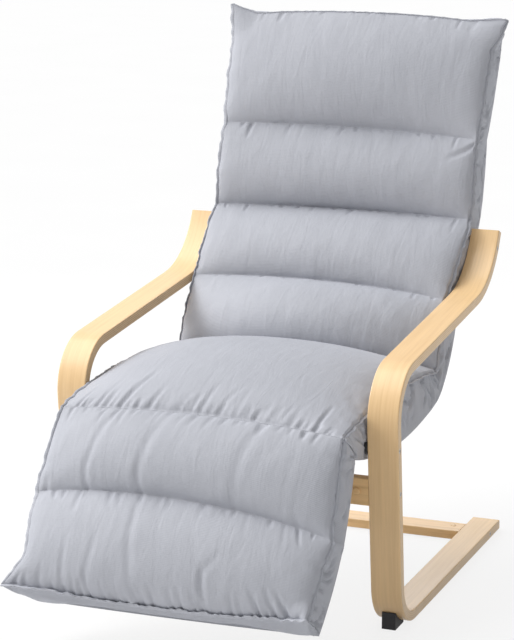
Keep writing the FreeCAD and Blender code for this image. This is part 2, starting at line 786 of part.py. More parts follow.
def make_hinge_set(word, place, tilt, reach, tang_direction, steps_down, steps_up):
    """All the pieces of a left and a right ratchet hinge."""
    made = []
    for side_word, side in (("left", -1), ("right", 1)):
        made.append(make_wheel("%s_ratchet_wheel_%s" % (word, side_word), side, place, tilt, reach,
                               tang_direction, steps_down, steps_up))
        for cheek_word, outward in (("outer", side), ("inner", -side)):
            made.append(make_cheek("%s_%s_cheek_%s" % (word, cheek_word, side_word),
                                   side, outward, place, tilt, reach))
        made.append(make_pawl("%s_pawl_%s" % (word, side_word), side, place, tilt, reach))
        made.append(make_leaf_spring("%s_pawl_spring_%s" % (word, side_word), side, place, tilt, reach))
    made.append(make_rivets("%s_hinge_rivets" % word, place, s.rivet_diameter, s.rivet_head_diameter))
    pin_place = turned_place(place, tilt, polar(s.pawl_pivot_radius, s.pawl_pivot_angle, reach))
    made.append(make_rivets("%s_pawl_pins" % word, pin_place, s.pawl_pin_diameter, s.rivet_diameter))
    return made


def make_rivets(name, place, diameter, head_diameter):
    """Headed pins through both cheeks, one at each side of the chair."""
    half_stack = s.wheel_thickness / 2 + s.cheek_gap + s.cheek_thickness
    inner = tube_spread - half_stack
    outer = tube_spread + half_stack
    profile = [(inner - s.rivet_head_height, ZERO), (outer + s.rivet_head_height, ZERO),
               (outer + s.rivet_head_height, head_diameter / 2), (outer, head_diameter / 2),
               (outer, diameter / 2), (inner, diameter / 2),
               (inner, head_diameter / 2), (inner - s.rivet_head_height, head_diameter / 2)]
    return turned_pair(name, place, profile)


# Bolts, and the threaded plugs in the ends of the cross tubes
def make_bolts(name, place):
    """Socket-head bolts, sunk in the outer edge of the plywood."""
    head_end = half_frame - s.bolt_recess_depth + s.bolt_head_height
    under_head = half_frame - s.bolt_recess_depth
    profile = [(inner_face - s.bolt_reach, ZERO), (head_end - s.bolt_socket_depth, ZERO),
               (head_end - s.bolt_socket_depth, s.bolt_socket_diameter / 2),
               (head_end, s.bolt_socket_diameter / 2), (head_end, s.bolt_head_diameter / 2),
               (under_head, s.bolt_head_diameter / 2), (under_head, s.bolt_diameter / 2),
               (inner_face - s.bolt_reach, s.bolt_diameter / 2)]
    return turned_pair(name, place, profile)


def make_plugs(name, place, bore):
    radius = bore / 2 - s.plug_fit
    hole = s.bolt_diameter / 2 + s.running_fit
    profile = [(inner_face - s.plug_length, hole), (inner_face, hole),
               (inner_face, radius), (inner_face - s.plug_length, radius)]
    return turned_pair(name, place, profile)


# Cushion. Each puff is a loft along the chair's line. A form is its edges' front height, its middle's
# front height, the same two at the rear, and its half width.
half_cushion = inner_face - s.cushion_side_gap - s.cushion_side_bulge


def form(edge_front, middle_front, edge_rear, middle_rear, grow=ZERO):
    return [size.value for size in (edge_front, middle_front, edge_rear, middle_rear, half_cushion + grow)]


def cushion_section(along, edge_front, middle_front, edge_rear, middle_rear, half_width):
    """A closed wire of four arcs: crowned front, bowed sides and crowned rear."""
    bulge = s.cushion_side_bulge.value
    front_left, front_right = Vector(-half_width, -edge_front, along), Vector(half_width, -edge_front, along)
    rear_left, rear_right = Vector(-half_width, edge_rear, along), Vector(half_width, edge_rear, along)
    side_middle = (edge_rear - edge_front) / 2
    arcs = (Part.Arc(front_left, Vector(0, -middle_front, along), front_right),
            Part.Arc(front_right, Vector(half_width + bulge, side_middle, along), rear_right),
            Part.Arc(rear_right, Vector(0, middle_rear, along), rear_left),
            Part.Arc(rear_left, Vector(-half_width - bulge, side_middle, along), front_left))
    return Part.Wire([arc.toShape() for arc in arcs])


def puff(start, start_form, end, end_form, crest, direction):
    """One puff from seam to seam: full in the middle, drawn in at both of its seams."""
    start, end = number_of(start), number_of(end)
    shoulder, share = s.puff_shoulder.value, s.puff_shoulder_share.value
    stations = [(start, start_form)]
    for distance, seam in ((start + shoulder, start_form), (end - shoulder, end_form)):
        stations.append((distance, [low + (high - low) * share for low, high in zip(seam, crest)]))
    stations.insert(2, ((start + end) / 2, crest))
    stations.append((end, end_form))
    wires = [cushion_section(distance * direction, *sizes) for distance, sizes in stations]
    solid = Part.makeLoft(wires, True, False)
    if solid.Volume < 0:
        solid.reverse()
    return solid


def cylinder_along_x(radius, half_length, place, x=0.0):
    start = Vector(x - half_length, place[0], place[1])
    return Part.makeCylinder(radius, 2 * half_length, start, Vector(1, 0, 0))


def frame_cavity():
    """The flat space in the cushion that the side tubes and their webbing lie in."""
    half_thick = (half_web + s.cushion_fit).value
    half_wide = (tube_spread + half_web + s.cushion_fit).value
    seat_z = seat_line.value
    front_y = legrest_hinge[0].value - s.overrun.value
    corner = Vector(0, seat_corner[0].value, seat_z)
    up_back = Vector(0, back_sine.value, back_cosine.value)
    turn = math.radians(90 - s.lower_back_angle.value)
    setback = s.seat_bend_radius.value * math.tan(turn / 2)
    bend_start = corner - Vector(0, setback, 0)
    bend_end = corner + up_back * setback
    to_middle = (Vector(0, -1, 0) + up_back).normalize()
    bend_middle = corner + to_middle * s.seat_bend_radius.value * (1 / math.cos(turn / 2) - 1)
    top = Vector(0, back_hinge[0].value, back_hinge[1].value) + up_back * s.overrun.value
    path = Part.Wire([Part.LineSegment(Vector(0, front_y, seat_z), bend_start).toShape(),
                      Part.Arc(bend_start, bend_middle, bend_end).toShape(),
                      Part.LineSegment(bend_end, top).toShape()])
    corners = [Vector(across * half_wide, front_y, seat_z + up * half_thick)
               for across, up in ((-1, -1), (1, -1), (1, 1), (-1, 1), (-1, -1))]
    return path.makePipeShell([Part.makePolygon(corners)], True, False)


def cavity_box(reach, length):
    """The same flat space in the straight cushions, in the hinge's own frame."""
    half_thick = (half_web + s.cushion_fit).value
    half_wide = (tube_spread + half_web + s.cushion_fit).value
    tall = length + half_thick + s.overrun.value
    low = -s.overrun.value if reach > 0 else -length - half_thick
    return Part.makeBox(2 * half_wide, 2 * half_thick, tall, Vector(-half_wide, -half_thick, low))


def hinge_pockets(place, radius):
    """Round pockets that leave the four cheeks of a hinge free to turn."""
    half = s.hinge_pocket_half.value
    return [cylinder_along_x(radius.value, half, place, tube_spread.value * side) for side in (-1, 1)]


def placed(solid, place, tilt):
    turn = FreeCAD.Rotation(Vector(1, 0, 0), tilt)
    moved = solid.copy()
    moved.Placement = FreeCAD.Placement(Vector(0, place[0].value, place[1].value), turn)
    return moved


def add_cushion(name, solid, place=(ZERO, ZERO), tilt=ZERO):
    """A soft sub-part whose shape is cut and joined by Part's own functions."""
    feature = doc.addObject("Part::Feature", name)
    feature.Label = name
    feature.Shape = solid
    turn = FreeCAD.Rotation(Vector(1, 0, 0), tilt.value)
    feature.Placement = FreeCAD.Placement(Vector(0, place[0].value, place[1].value), turn)
    return feature


def joined(solids):
    result = solids[0]
    for solid in solids[1:]:
        result = result.fuse(solid)
    return result.removeSplitter()


hinge_end = form(s.hinge_nose, s.hinge_nose + s.hinge_nose_crown,
                 s.hinge_nose, s.hinge_nose + s.hinge_nose_crown, -s.cushion_draw_in)


def make_upper_back_cushion():
    seam = form(s.back_edge_front, s.back_seam_front, s.edge_rear, s.seam_rear, -s.cushion_draw_in)
    crest = form(s.back_edge_front + s.edge_swell, s.back_crest_front,
                 s.edge_rear + s.edge_swell, s.crest_rear)
    top = form(s.back_top_edge_front, s.back_top_front, s.back_top_rear - s.edge_swell, s.back_top_rear,
               s.cushion_flare)
    flared = crest[:-1] + [crest[-1] + s.cushion_flare.value / 2]
    low = puff(s.hinge_gap, hinge_end, s.back_channel, seam, crest, 1)
    high = puff(s.back_channel, seam, s.back_top, top, flared, 1)
    cushion = joined([low, high])
    cuts = [cavity_box(1, s.back_loop_height.value)] + hinge_pockets((0, 0), s.moving_pocket_radius)
    return add_cushion("upper_back_cushion", cushion.cut(cuts), back_hinge, upper_tilt)


lower_back_end = lower_back_length + s.lower_back_end_reach


def make_lower_back_cushion():
    seam = form(s.lower_back_edge_front, s.lower_back_seam_front,
                s.edge_rear, s.seam_rear, -s.cushion_draw_in)
    crest = form(s.lower_back_edge_front + s.edge_swell, s.lower_back_crest_front,
                 s.edge_rear + s.edge_swell, s.crest_rear)
    low_end = form(s.lower_back_end_edge_front, s.lower_back_end_front,
                   s.seam_rear, s.seam_rear + s.edge_swell, -s.cushion_draw_in)
    channel = lower_back_end * s.lower_back_channel_share
    high = puff(s.hinge_gap, hinge_end, channel, seam, crest, -1)
    low = puff(channel, seam, lower_back_end, low_end, crest, -1)
    cushion = placed(joined([high, low]), back_hinge, lower_tilt.value)
    tube_hole = cylinder_along_x(s.arm_tube_diameter.value / 2 + s.cushion_fit.value, half_frame.value,
                                 (arm_tube[0].value, arm_tube[1].value))
    place = (back_hinge[0].value, back_hinge[1].value)
    cuts = [frame_cavity(), tube_hole] + hinge_pockets(place, s.fixed_pocket_radius)
    return add_cushion("lower_back_cushion", cushion.cut(cuts))


def knee(radius):
    """The round front end of the seat, about the legrest's hinge."""
    half_width = (half_cushion - s.cushion_draw_in).value
    return cylinder_along_x(radius, half_width, (legrest_hinge[0].value, legrest_hinge[1].value))


def make_seat_cushion():
    """The seat's one long puff, cut at the rear along the lower end of the back."""
    length = seat_corner[0] - legrest_hinge[0] + s.seat_rear_reach
    nose = s.hinge_nose + s.hinge_nose_crown
    front_end = form(s.seat_start_edge_top, s.seat_start_top, s.hinge_nose, nose, -s.cushion_draw_in)
    rear_end = form(s.seat_crease_edge_top, s.seat_crease_top, s.seat_rear_bottom,
                    s.seat_rear_bottom + s.seat_bottom_crown, -s.cushion_draw_in)
    crest = form(s.seat_edge_top, s.seat_crest, s.seat_bottom, s.seat_bottom + s.seat_bottom_crown)
    cushion = placed(puff(s.hinge_gap, front_end, length, rear_end, crest, 1), legrest_hinge, -90)
    cushion = joined([cushion, knee(s.knee_radius.value)])
    size = s.frame_width.value
    beyond = Part.makeBox(size, 2 * size, size, Vector(-size / 2, -size, -lower_back_end.value
                                                       - s.cushion_fit.value))
    place = (legrest_hinge[0].value, legrest_hinge[1].value)
    front_hole = cylinder_along_x(s.front_tube_diameter.value / 2 + s.cushion_fit.value, half_frame.value,
                                  (front_tube[0].value, front_tube[1].value))
    half_wide = (tube_spread + half_web + s.cushion_fit).value
    corner_hole = cylinder_along_x(half_tube.value + s.cushion_fit.value, half_wide,
                                   (corner_tube[0].value, corner_tube[1].value))
    cuts = [placed(beyond, back_hinge, lower_tilt.value), frame_cavity(), front_hole, corner_hole]
    cuts += hinge_pockets(place, s.fixed_pocket_radius)
    return add_cushion("seat_cushion", cushion.cut(cuts))


def make_legrest_cushion():
    seam = form(s.legrest_edge_front, s.legrest_seam_front, s.edge_rear, s.seam_rear,
                s.cushion_flare - s.cushion_draw_in)
    crest = form(s.legrest_edge_front + s.edge_swell, s.legrest_crest_front,
                 s.edge_rear + s.edge_swell, s.crest_rear, s.cushion_flare / 2)
    start = form(s.legrest_start_edge_front, s.legrest_start_front, s.hinge_nose,
                 s.hinge_nose + s.hinge_nose_crown, -s.cushion_draw_in)
    foot_end = form(s.legrest_foot_edge_front, s.legrest_foot_front, s.legrest_foot_rear - s.edge_swell,
                    s.legrest_foot_rear, -s.cushion_draw_in)
    high = puff(s.hinge_gap, start, s.legrest_channel, seam, crest, -1)
    low = puff(s.legrest_channel, seam, s.legrest_end, foot_end, crest, -1)
    knee_space = cylinder_along_x(s.knee_radius.value + s.cushion_fit.value, s.frame_width.value, (0, 0))
    cuts = [cavity_box(-1, s.legrest_loop_length.value), knee_space]
    cuts += hinge_pockets((0, 0), s.moving_pocket_radius)
    return add_cushion("legrest_cushion", joined([high, low]).cut(cuts), legrest_hinge, legrest_tilt)


# Build every sub-part
parts = [make_side_frame("side_frame_left", -1), make_side_frame("side_frame_right", 1),
         make_front_rail(), make_floor_crossbar(),
         make_front_foot("front_foot_left", -1), make_front_foot("front_foot_right", 1),
         make_rear_glides()]
parts += [make_cross_tube("front_cross_tube", front_tube,
                          s.front_tube_diameter, s.front_tube_bore, inner_face),
          make_cross_tube("arm_cross_tube", arm_tube, s.arm_tube_diameter, s.arm_tube_bore, inner_face),
          make_cross_tube("seat_corner_tube", corner_tube, s.tube_diameter, s.tube_bore,
                          tube_spread + half_tube)]
parts += [make_seat_side_tube("seat_side_tube_left", -1), make_seat_side_tube("seat_side_tube_right", 1),
          make_loop("upper_back_loop", back_hinge, upper_tilt, 1, s.back_loop_height, s.back_loop_radius),
          make_loop("legrest_loop", legrest_hinge, legrest_tilt, -1, s.legrest_loop_length,
                    s.legrest_loop_radius)]
seat_tilt = Size(-90, "-90")
parts += [make_webbing("seat_webbing", legrest_hinge, seat_tilt, s.seat_web_start, seat_web_count, 1),
          make_webbing("lower_back_webbing", back_hinge, lower_tilt, s.lower_back_web_start,
                       lower_back_web_count, -1),
          make_webbing("upper_back_webbing", back_hinge, upper_tilt, s.upper_back_web_start,
                       upper_back_web_count, 1),
          make_webbing("legrest_webbing", legrest_hinge, legrest_tilt, s.legrest_web_start,
                       legrest_web_count, -1)]
back_fold = s.back_rest_steps * s.ratchet_step
back_tang = (-sine(back_fold), -cosine(back_fold))
legrest_fold = s.legrest_rest_steps * s.ratchet_step
legrest_tang = (sine(legrest_fold), cosine(legrest_fold))
parts += make_hinge_set("back", back_hinge, upper_tilt, 1, back_tang, s.back_steps_down, s.back_steps_up)
parts += make_hinge_set("legrest", legrest_hinge, legrest_tilt, -1, legrest_tang,
                        s.legrest_steps_down, s.legrest_steps_up)
parts += [make_bolts("arm_bolts", arm_tube), make_bolts("front_tube_bolts", front_tube),
          make_bolts("front_rail_bolts", front_rail), make_bolts("crossbar_bolts", crossbar_bolt),
          make_plugs("arm_tube_plugs", arm_tube, s.arm_tube_bore),
          make_plugs("front_tube_plugs", front_tube, s.front_tube_bore),
          make_dowel_nuts("front_rail_dowel_nuts", front_rail, leg_tilt, "XZ_Plane", s.rail_thickness),
          make_dowel_nuts("crossbar_dowel_nuts", crossbar_bolt, None, "XY_Plane", s.crossbar_thickness)]
doc.recompute()
parts += [make_seat_cushion(), make_lower_back_cushion(), make_upper_back_cushion(), make_legrest_cushion()]
doc.recompute()


# Check every object, then write each sub-part
for item in doc.Objects:
    if "Invalid" in item.State or "Error" in item.State:
        raise RuntimeError("%s did not build: %s" % (item.Name, item.State))
    if item.TypeId == "PartDesign::Pocket":
        before = item.BaseFeature.Shape.Volume
        if item.Shape.Volume > before * (1 - 1e-6):
            raise RuntimeError("%s cuts nothing" % item.Name)
triangles = 0
overall = FreeCAD.BoundBox()
for part in parts:
    if part.Shape.isNull() or not part.Shape.isValid():
        raise RuntimeError("%s has no valid shape" % part.Label)
    part.Shape.exportStep("parts/%s.step" % part.Label)
    overall.add(part.Shape.BoundBox)
    print(part.Label, len(part.Shape.Solids), round(part.Shape.Volume))
print("size", round(overall.XLength, 1), round(overall.YLength, 1), round(overall.ZLength, 1))
print("middle", round(overall.Center.x, 2), round(overall.Center.y, 2), "low", round(overall.ZMin, 3))
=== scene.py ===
import bmesh
import bpy
import json
import math
import numpy as np
import random
from collections import namedtuple
from mathutils import Matrix, Vector, noise


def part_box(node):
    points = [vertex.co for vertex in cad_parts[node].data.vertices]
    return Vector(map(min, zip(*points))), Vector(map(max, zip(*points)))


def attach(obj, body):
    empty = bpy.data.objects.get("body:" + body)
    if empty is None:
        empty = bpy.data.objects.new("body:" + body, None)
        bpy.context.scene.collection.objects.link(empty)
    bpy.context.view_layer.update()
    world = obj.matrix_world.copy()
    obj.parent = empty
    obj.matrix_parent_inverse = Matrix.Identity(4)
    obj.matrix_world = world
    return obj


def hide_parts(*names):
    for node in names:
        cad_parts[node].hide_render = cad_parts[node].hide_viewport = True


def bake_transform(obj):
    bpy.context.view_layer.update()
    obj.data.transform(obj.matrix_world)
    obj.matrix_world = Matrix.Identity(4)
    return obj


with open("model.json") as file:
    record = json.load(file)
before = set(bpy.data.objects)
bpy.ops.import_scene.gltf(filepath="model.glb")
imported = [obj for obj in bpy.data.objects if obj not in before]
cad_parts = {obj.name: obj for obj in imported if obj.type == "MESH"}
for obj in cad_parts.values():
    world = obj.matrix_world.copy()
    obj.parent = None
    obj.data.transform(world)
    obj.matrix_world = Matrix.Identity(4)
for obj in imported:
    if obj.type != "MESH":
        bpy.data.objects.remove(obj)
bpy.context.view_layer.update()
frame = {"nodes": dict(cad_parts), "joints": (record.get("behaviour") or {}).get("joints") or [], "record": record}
joints = {joint["name"]: joint for joint in frame["joints"]}
for loaded in list(bpy.context.selected_objects):
    loaded.select_set(False)

# Places of the two hinge lines, in the chair's middle plane (Y, Z), and the tilts of what they carry
back_hinge = joints["back_recline"]["pos_m"][1:]
legrest_hinge = joints["legrest_tilt"]["pos_m"][1:]
LOWER_BACK_TILT = math.radians(40)
UPPER_BACK_TILT = math.radians(17.5)
LEGREST_TILT = math.radians(30)


def upper_back(along, front):
    """A place by its height along the upper back and its distance in front of the tubes."""
    return (back_hinge[0] + along * math.sin(UPPER_BACK_TILT) - front * math.cos(UPPER_BACK_TILT),
            back_hinge[1] + along * math.cos(UPPER_BACK_TILT) + front * math.sin(UPPER_BACK_TILT))


def lower_back(along, front):
    return (back_hinge[0] - along * math.sin(LOWER_BACK_TILT) - front * math.cos(LOWER_BACK_TILT),
            back_hinge[1] - along * math.cos(LOWER_BACK_TILT) + front * math.sin(LOWER_BACK_TILT))


def seat(along, up):
    return (legrest_hinge[0] + along, legrest_hinge[1] + up)


def legrest(along, front):
    return (legrest_hinge[0] - along * math.sin(LEGREST_TILT) - front * math.cos(LEGREST_TILT),
            legrest_hinge[1] - along * math.cos(LEGREST_TILT) + front * math.sin(LEGREST_TILT))


# Materials
class Shade:
    """A shader value whose arithmetic adds Math nodes."""

    def __init__(self, material, socket):
        self.material = material
        self.socket = socket

    def math(self, operation, *others):
        given = [self] + list(others)
        return self.material.node("ShaderNodeMath", {"operation": operation}, dict(enumerate(given)))

    def __add__(self, other):
        return self.math("ADD", other)

    def __sub__(self, other):
        return self.math("SUBTRACT", other)

    def __mul__(self, other):
        return self.math("MULTIPLY", other)

    def __truediv__(self, other):
        return self.math("DIVIDE", other)

    __radd__ = __add__
    __rmul__ = __mul__


class Finish:
    """A procedural material on a Principled shader."""

    def __init__(self, name, **constants):
        self.data = bpy.data.materials.new(name)
        self.data.use_nodes = True
        self.tree = self.data.node_tree
        self.shader = self.tree.nodes["Principled BSDF"]
        for socket, value in constants.items():
            self.shader.inputs[socket.replace("_", " ")].default_value = value

    def plain(self, number):
        made = self.tree.nodes.new("ShaderNodeValue")
        made.outputs[0].default_value = number
        return Shade(self, made.outputs[0])

    def node(self, kind, settings=None, inputs=None, output=0):
        made = self.tree.nodes.new(kind)
        for setting, value in (settings or {}).items():
            if setting == "stops":
                ramp = made.color_ramp.elements
                while len(ramp) < len(value):
                    ramp.new(0.5)
                for stop, (place, colour) in zip(ramp, value):
                    stop.position = place
                    stop.color = (*colour, 1)
            else:
                setattr(made, setting, value)
        for socket, value in (inputs or {}).items():
            if isinstance(value, Shade):
                self.tree.links.new(value.socket, made.inputs[socket])
            else:
                made.inputs[socket].default_value = value
        return Shade(self, made.outputs[output])

    def stretched(self, vector, stretch):
        """Coordinates stretched by a Mapping node."""
        return self.node("ShaderNodeMapping", None, {0: vector, 3: stretch})

    def place(self, stretch=(1, 1, 1)):
        """Object coordinates, stretched the same way."""
        return self.stretched(self.node("ShaderNodeTexCoord", output=3), stretch)

    def axis(self, vector, index):
        return self.node("ShaderNodeSeparateXYZ", None, {0: vector}, index)

    def noise(self, vector, scale, detail=2.0, roughness=0.5, distortion=0.0):
        return self.node("ShaderNodeTexNoise", None,
                         {"Vector": vector, "Scale": scale, "Detail": detail,
                          "Roughness": roughness, "Distortion": distortion})

    def ramp(self, value, *stops):
        return self.node("ShaderNodeValToRGB", {"stops": stops}, {0: value})

    def mix(self, share, first, second):
        """A colour between two."""
        settings = {"data_type": "RGBA"}
        made = {0: share, 6: four(first), 7: four(second)}
        return self.node("ShaderNodeMix", settings, made, 2)

    def feed(self, socket, value):
        self.tree.links.new(value.socket, self.shader.inputs[socket])

    def bump(self, height, distance, strength=1.0, normal=None):
        inputs = {"Height": height, "Distance": distance, "Strength": strength}
        if normal is not None:
            inputs["Normal"] = normal
        return self.node("ShaderNodeBump", None, inputs)


def four(colour):
    return colour if isinstance(colour, Shade) else (*colour, 1)


# The cushion's weave and its colours
RIB_PITCH, THREAD_PITCH = 0.0032, 0.0011
FABRIC_DARK, FABRIC_LIGHT = (0.398, 0.408, 0.448), (0.454, 0.464, 0.508)
WEAVE_TONE = (0.32, 0.33, 0.372)


def cushion_fabric():
    """Light grey-blue polyester: fine ribs across the cushion, soft streaks along it, a slight sheen."""
    cloth = Finish("cushion_fabric", Sheen_Weight=0.25, Sheen_Roughness=0.4, IOR=1.45)
    cloth.shader.inputs["Sheen Tint"].default_value = (0.85, 0.9, 1, 1)
    pattern = cloth.node("ShaderNodeUVMap", {"uv_map": "weave"})
    across, along = cloth.axis(pattern, 0), cloth.axis(pattern, 1)
    wander = cloth.noise(pattern, 14, 2) * 0.0016
    rib = ((along + wander) * (2 * math.pi / RIB_PITCH)).math("SINE") * 0.5 + 0.5
    broken = cloth.noise(cloth.stretched(pattern, (60, 420, 1)), 1, 3, 0.6)
    thread = (across * (2 * math.pi / THREAD_PITCH)).math("SINE") * 0.5 + 0.5
    weave = rib * (0.55 + 0.45 * thread) * broken.math("POWER", 0.7)
    patches = cloth.noise(cloth.place(), 5.5, 4, 0.55)
    streaks = cloth.noise(cloth.stretched(pattern, (38, 8, 1)), 1, 3, 0.6, 0.5)
    tone = cloth.ramp(patches * 0.8 + streaks * 0.2, (0.30, FABRIC_DARK), (0.70, FABRIC_LIGHT))
    colour = cloth.mix(weave * 0.30, tone, WEAVE_TONE)
    cloth.feed("Base Color", colour)
    cloth.feed("Roughness", 0.62 + 0.2 * broken)
    creased = cloth.bump(streaks, 0.0048, 0.45)
    soft = cloth.bump(cloth.noise(cloth.place(), 42, 3, 0.55), 0.0016, 0.35, creased)
    cloth.feed("Normal", cloth.bump(weave, 0.0005, 0.5, soft))
    return cloth.data


def birch(name, stretch, light, dark, plies=False):
    """Clear-lacquered birch. The grain runs where the stretch is small."""
    wood = Finish(name, Coat_Weight=0.25, Coat_Roughness=0.25, IOR=1.5)
    grain = wood.noise(wood.place(stretch), 1, 5, 0.62, 0.4)
    fine = wood.noise(wood.place([size * 3.1 for size in stretch]), 1, 3, 0.6)
    cloud = wood.noise(wood.place(), 3.2, 3)
    tone = wood.ramp(grain * 0.7 + cloud * 0.3, (0.34, dark), (0.50, light),
                     (0.66, [channel * 1.08 for channel in light]))
    fleck = wood.ramp(fine, (0.42, (1, 1, 1)), (0.60, (0, 0, 0)))
    colour = wood.mix(wood.node("ShaderNodeRGBToBW", None, {0: fleck}) * 0.10, tone, dark)
    if plies:
        normal = wood.node("ShaderNodeNewGeometry", output=1)
        turned = wood.axis(normal, 0).math("ABSOLUTE")
        edge = wood.node("ShaderNodeMapRange", None, {0: turned, 1: 0.75, 2: 0.95})
        point = wood.place()
        layers = ply_lines(wood, wood.axis(point, 1), wood.axis(point, 2))
        glued = wood.mix(layers * GLUE_SHARE, [channel * 0.88 for channel in light], GLUE_TONE)
        colour = wood.mix(edge, colour, glued)
    wood.feed("Base Color", colour)
    wood.feed("Roughness", 0.34 + 0.2 * fine)
    wood.feed("Normal", wood.bump(grain + fine * 0.5, 0.0004, 0.35))
    return wood.data


# The side frame's ribbon: its thickness, its corners as (Y, Z), its bend radii and the glue lines
# between its plies
frame_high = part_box("side_frame_right")[1]
RIBBON = 0.020
ARM_HEIGHT, LEG_LEAN, ARM_LENGTH, ARM_RISE = 0.492, 0.053, 0.618, 0.062
TIP_SET, TIP_RISE, RUNNER, GLIDE = 0.052, 0.105, 0.673, 0.002
foot_corner = (frame_high.y - RUNNER, GLIDE + RIBBON / 2)
arm_front = (foot_corner[0] - LEG_LEAN, ARM_HEIGHT + GLIDE)
arm_rear = (arm_front[0] + ARM_LENGTH, arm_front[1] + ARM_RISE)
arm_tip = (arm_rear[0] + TIP_SET, arm_rear[1] + TIP_RISE)
ribbon = [(frame_high.y, foot_corner[1]), foot_corner, arm_front, arm_rear, arm_tip]
BEND_RADII = (0.082, 0.091, 0.193)
PLY_PITCH, GLUE_SHARPNESS = 0.0040, 5
GLUE_SHARE, GLUE_TONE = 0.6, (0.34, 0.20, 0.09)


def ply_lines(wood, y, z):
    """Dark glue lines between the plies: rounds in the bends and straights between them."""
    nearest = wood.plain(1.0)
    corners = [Vector(corner) for corner in ribbon]
    starts, ends = list(corners[:-1]), list(corners[1:])
    for index, radius in enumerate(BEND_RADII, start=1):
        before = (corners[index - 1] - corners[index]).normalized()
        after = (corners[index + 1] - corners[index]).normalized()
        half = before.angle(after) / 2
        setback = radius / math.tan(half)
        middle = (before + after).normalized()
        centre = corners[index] + middle * (radius / math.sin(half))
        ends[index - 1] = corners[index] + before * setback
        starts[index] = corners[index] + after * setback
        out_y, out_z = y - centre.x, z - centre.y
        reach = (out_y * out_y + out_z * out_z).math("SQRT")
        facing = (out_y * -middle.x + out_z * -middle.y) / reach
        outside = facing.math("LESS_THAN", math.cos(math.pi / 2 - half))
        depth = (reach - radius).math("ABSOLUTE") + outside
        nearest = nearest.math("MINIMUM", depth)
    for start, end in zip(starts, ends):
        along = (end - start).normalized()
        from_y, from_z = y - start.x, z - start.y
        half_length = (end - start).length / 2
        off_middle = from_y * along.x + from_z * along.y - half_length
        beyond = off_middle.math("ABSOLUTE").math("GREATER_THAN", half_length)
        depth = (from_y * along.y - from_z * along.x).math("ABSOLUTE") + beyond
        nearest = nearest.math("MINIMUM", depth)
    wave = (nearest * (2 * math.pi / PLY_PITCH)).math("COSINE") * 0.5 + 0.5
    return wave.math("POWER", GLUE_SHARPNESS)


def black_rubber():
    rubber = Finish("black_rubber", IOR=1.45)
    speckle = rubber.noise(rubber.place(), 900, 2)
    rubber.feed("Base Color", rubber.ramp(speckle, (0.35, (0.012, 0.012, 0.013)),
                                          (0.7, (0.032, 0.032, 0.034))))
    rubber.feed("Roughness", 0.55 + 0.2 * speckle)
    rubber.feed("Normal", rubber.bump(speckle, 0.0003, 0.4))
    return rubber.data


def steel(name, dark, light, roughness, scratches):
    metal = Finish(name, Metallic=1.0)
    brushed = metal.noise(metal.place(scratches), 1, 4, 0.6)
    metal.feed("Base Color", metal.ramp(brushed, (0.3, dark), (0.7, light)))
    metal.feed("Roughness", roughness + 0.18 * brushed)
    metal.feed("Normal", metal.bump(brushed, 0.0001, 0.25))
    return metal.data


def black_powder_coat():
    coat = Finish("black_powder_coat", IOR=1.5)
    peel = coat.noise(coat.place(), 520, 3)
    coat.feed("Base Color", coat.ramp(peel, (0.3, (0.018, 0.018, 0.020)), (0.7, (0.034, 0.034, 0.037))))
    coat.feed("Roughness", 0.34 + 0.16 * peel)
    coat.feed("Normal", coat.bump(peel, 0.0002, 0.5))
    return coat.data


def webbing():
    """Black elastic bands with a woven herringbone face."""
    band = Finish("elastic_webbing")
    point = band.place()
    lengthwise = (band.axis(point, 0) * (2 * math.pi / 0.0035)).math("SINE")
    crosswise = (band.axis(point, 2) * (2 * math.pi / 0.0025)).math("SINE")
    knit = lengthwise * crosswise * 0.5 + 0.5
    band.feed("Base Color", band.ramp(knit, (0.2, (0.02, 0.02, 0.022)), (0.8, (0.07, 0.07, 0.075))))
    band.feed("Roughness", 0.8 + 0.1 * knit)
    band.feed("Normal", band.bump(knit, 0.0006, 0.6))
    return band.data


PLYWOOD_LIGHT, PLYWOOD_DARK = (0.845, 0.585, 0.308), (0.785, 0.522, 0.260)
SOLID_LIGHT, SOLID_DARK = (0.86, 0.560, 0.262), (0.66, 0.400, 0.165)
fabric = cushion_fabric()
finishes = {
    "birch_plywood": birch("birch_plywood", (160, 5, 5), PLYWOOD_LIGHT, PLYWOOD_DARK, True),
    "solid_birch": birch("solid_birch", (4, 120, 120), SOLID_LIGHT, SOLID_DARK),
    "black_rubber": black_rubber(),
    "cushion_fabric": fabric,
    "elastic_webbing": webbing(),
    "plated_steel": steel("plated_steel", (0.42, 0.42, 0.43), (0.62, 0.62, 0.63), 0.28, (500, 500, 500)),
    "bare_steel": steel("bare_steel", (0.30, 0.30, 0.31), (0.48, 0.48, 0.49), 0.36, (30, 900, 30)),
    "black_steel": black_powder_coat(),
}
for part in frame["record"]["subparts"]:
    shown = frame["nodes"][part["node"]]
    shown.data.materials.clear()
    shown.data.materials.append(finishes[part["material_slot"]])

# Cushion
Seam = namedtuple("Seam", "middle edge rear half_width skew swell lean")
Puff = namedtuple("Puff", "middle_rise edge_rise rear_rise")


def shift(part, along):
    """The move that a step along a part of the chair makes."""
    return Vector(part(along, 0)) - Vector(part(0, 0))


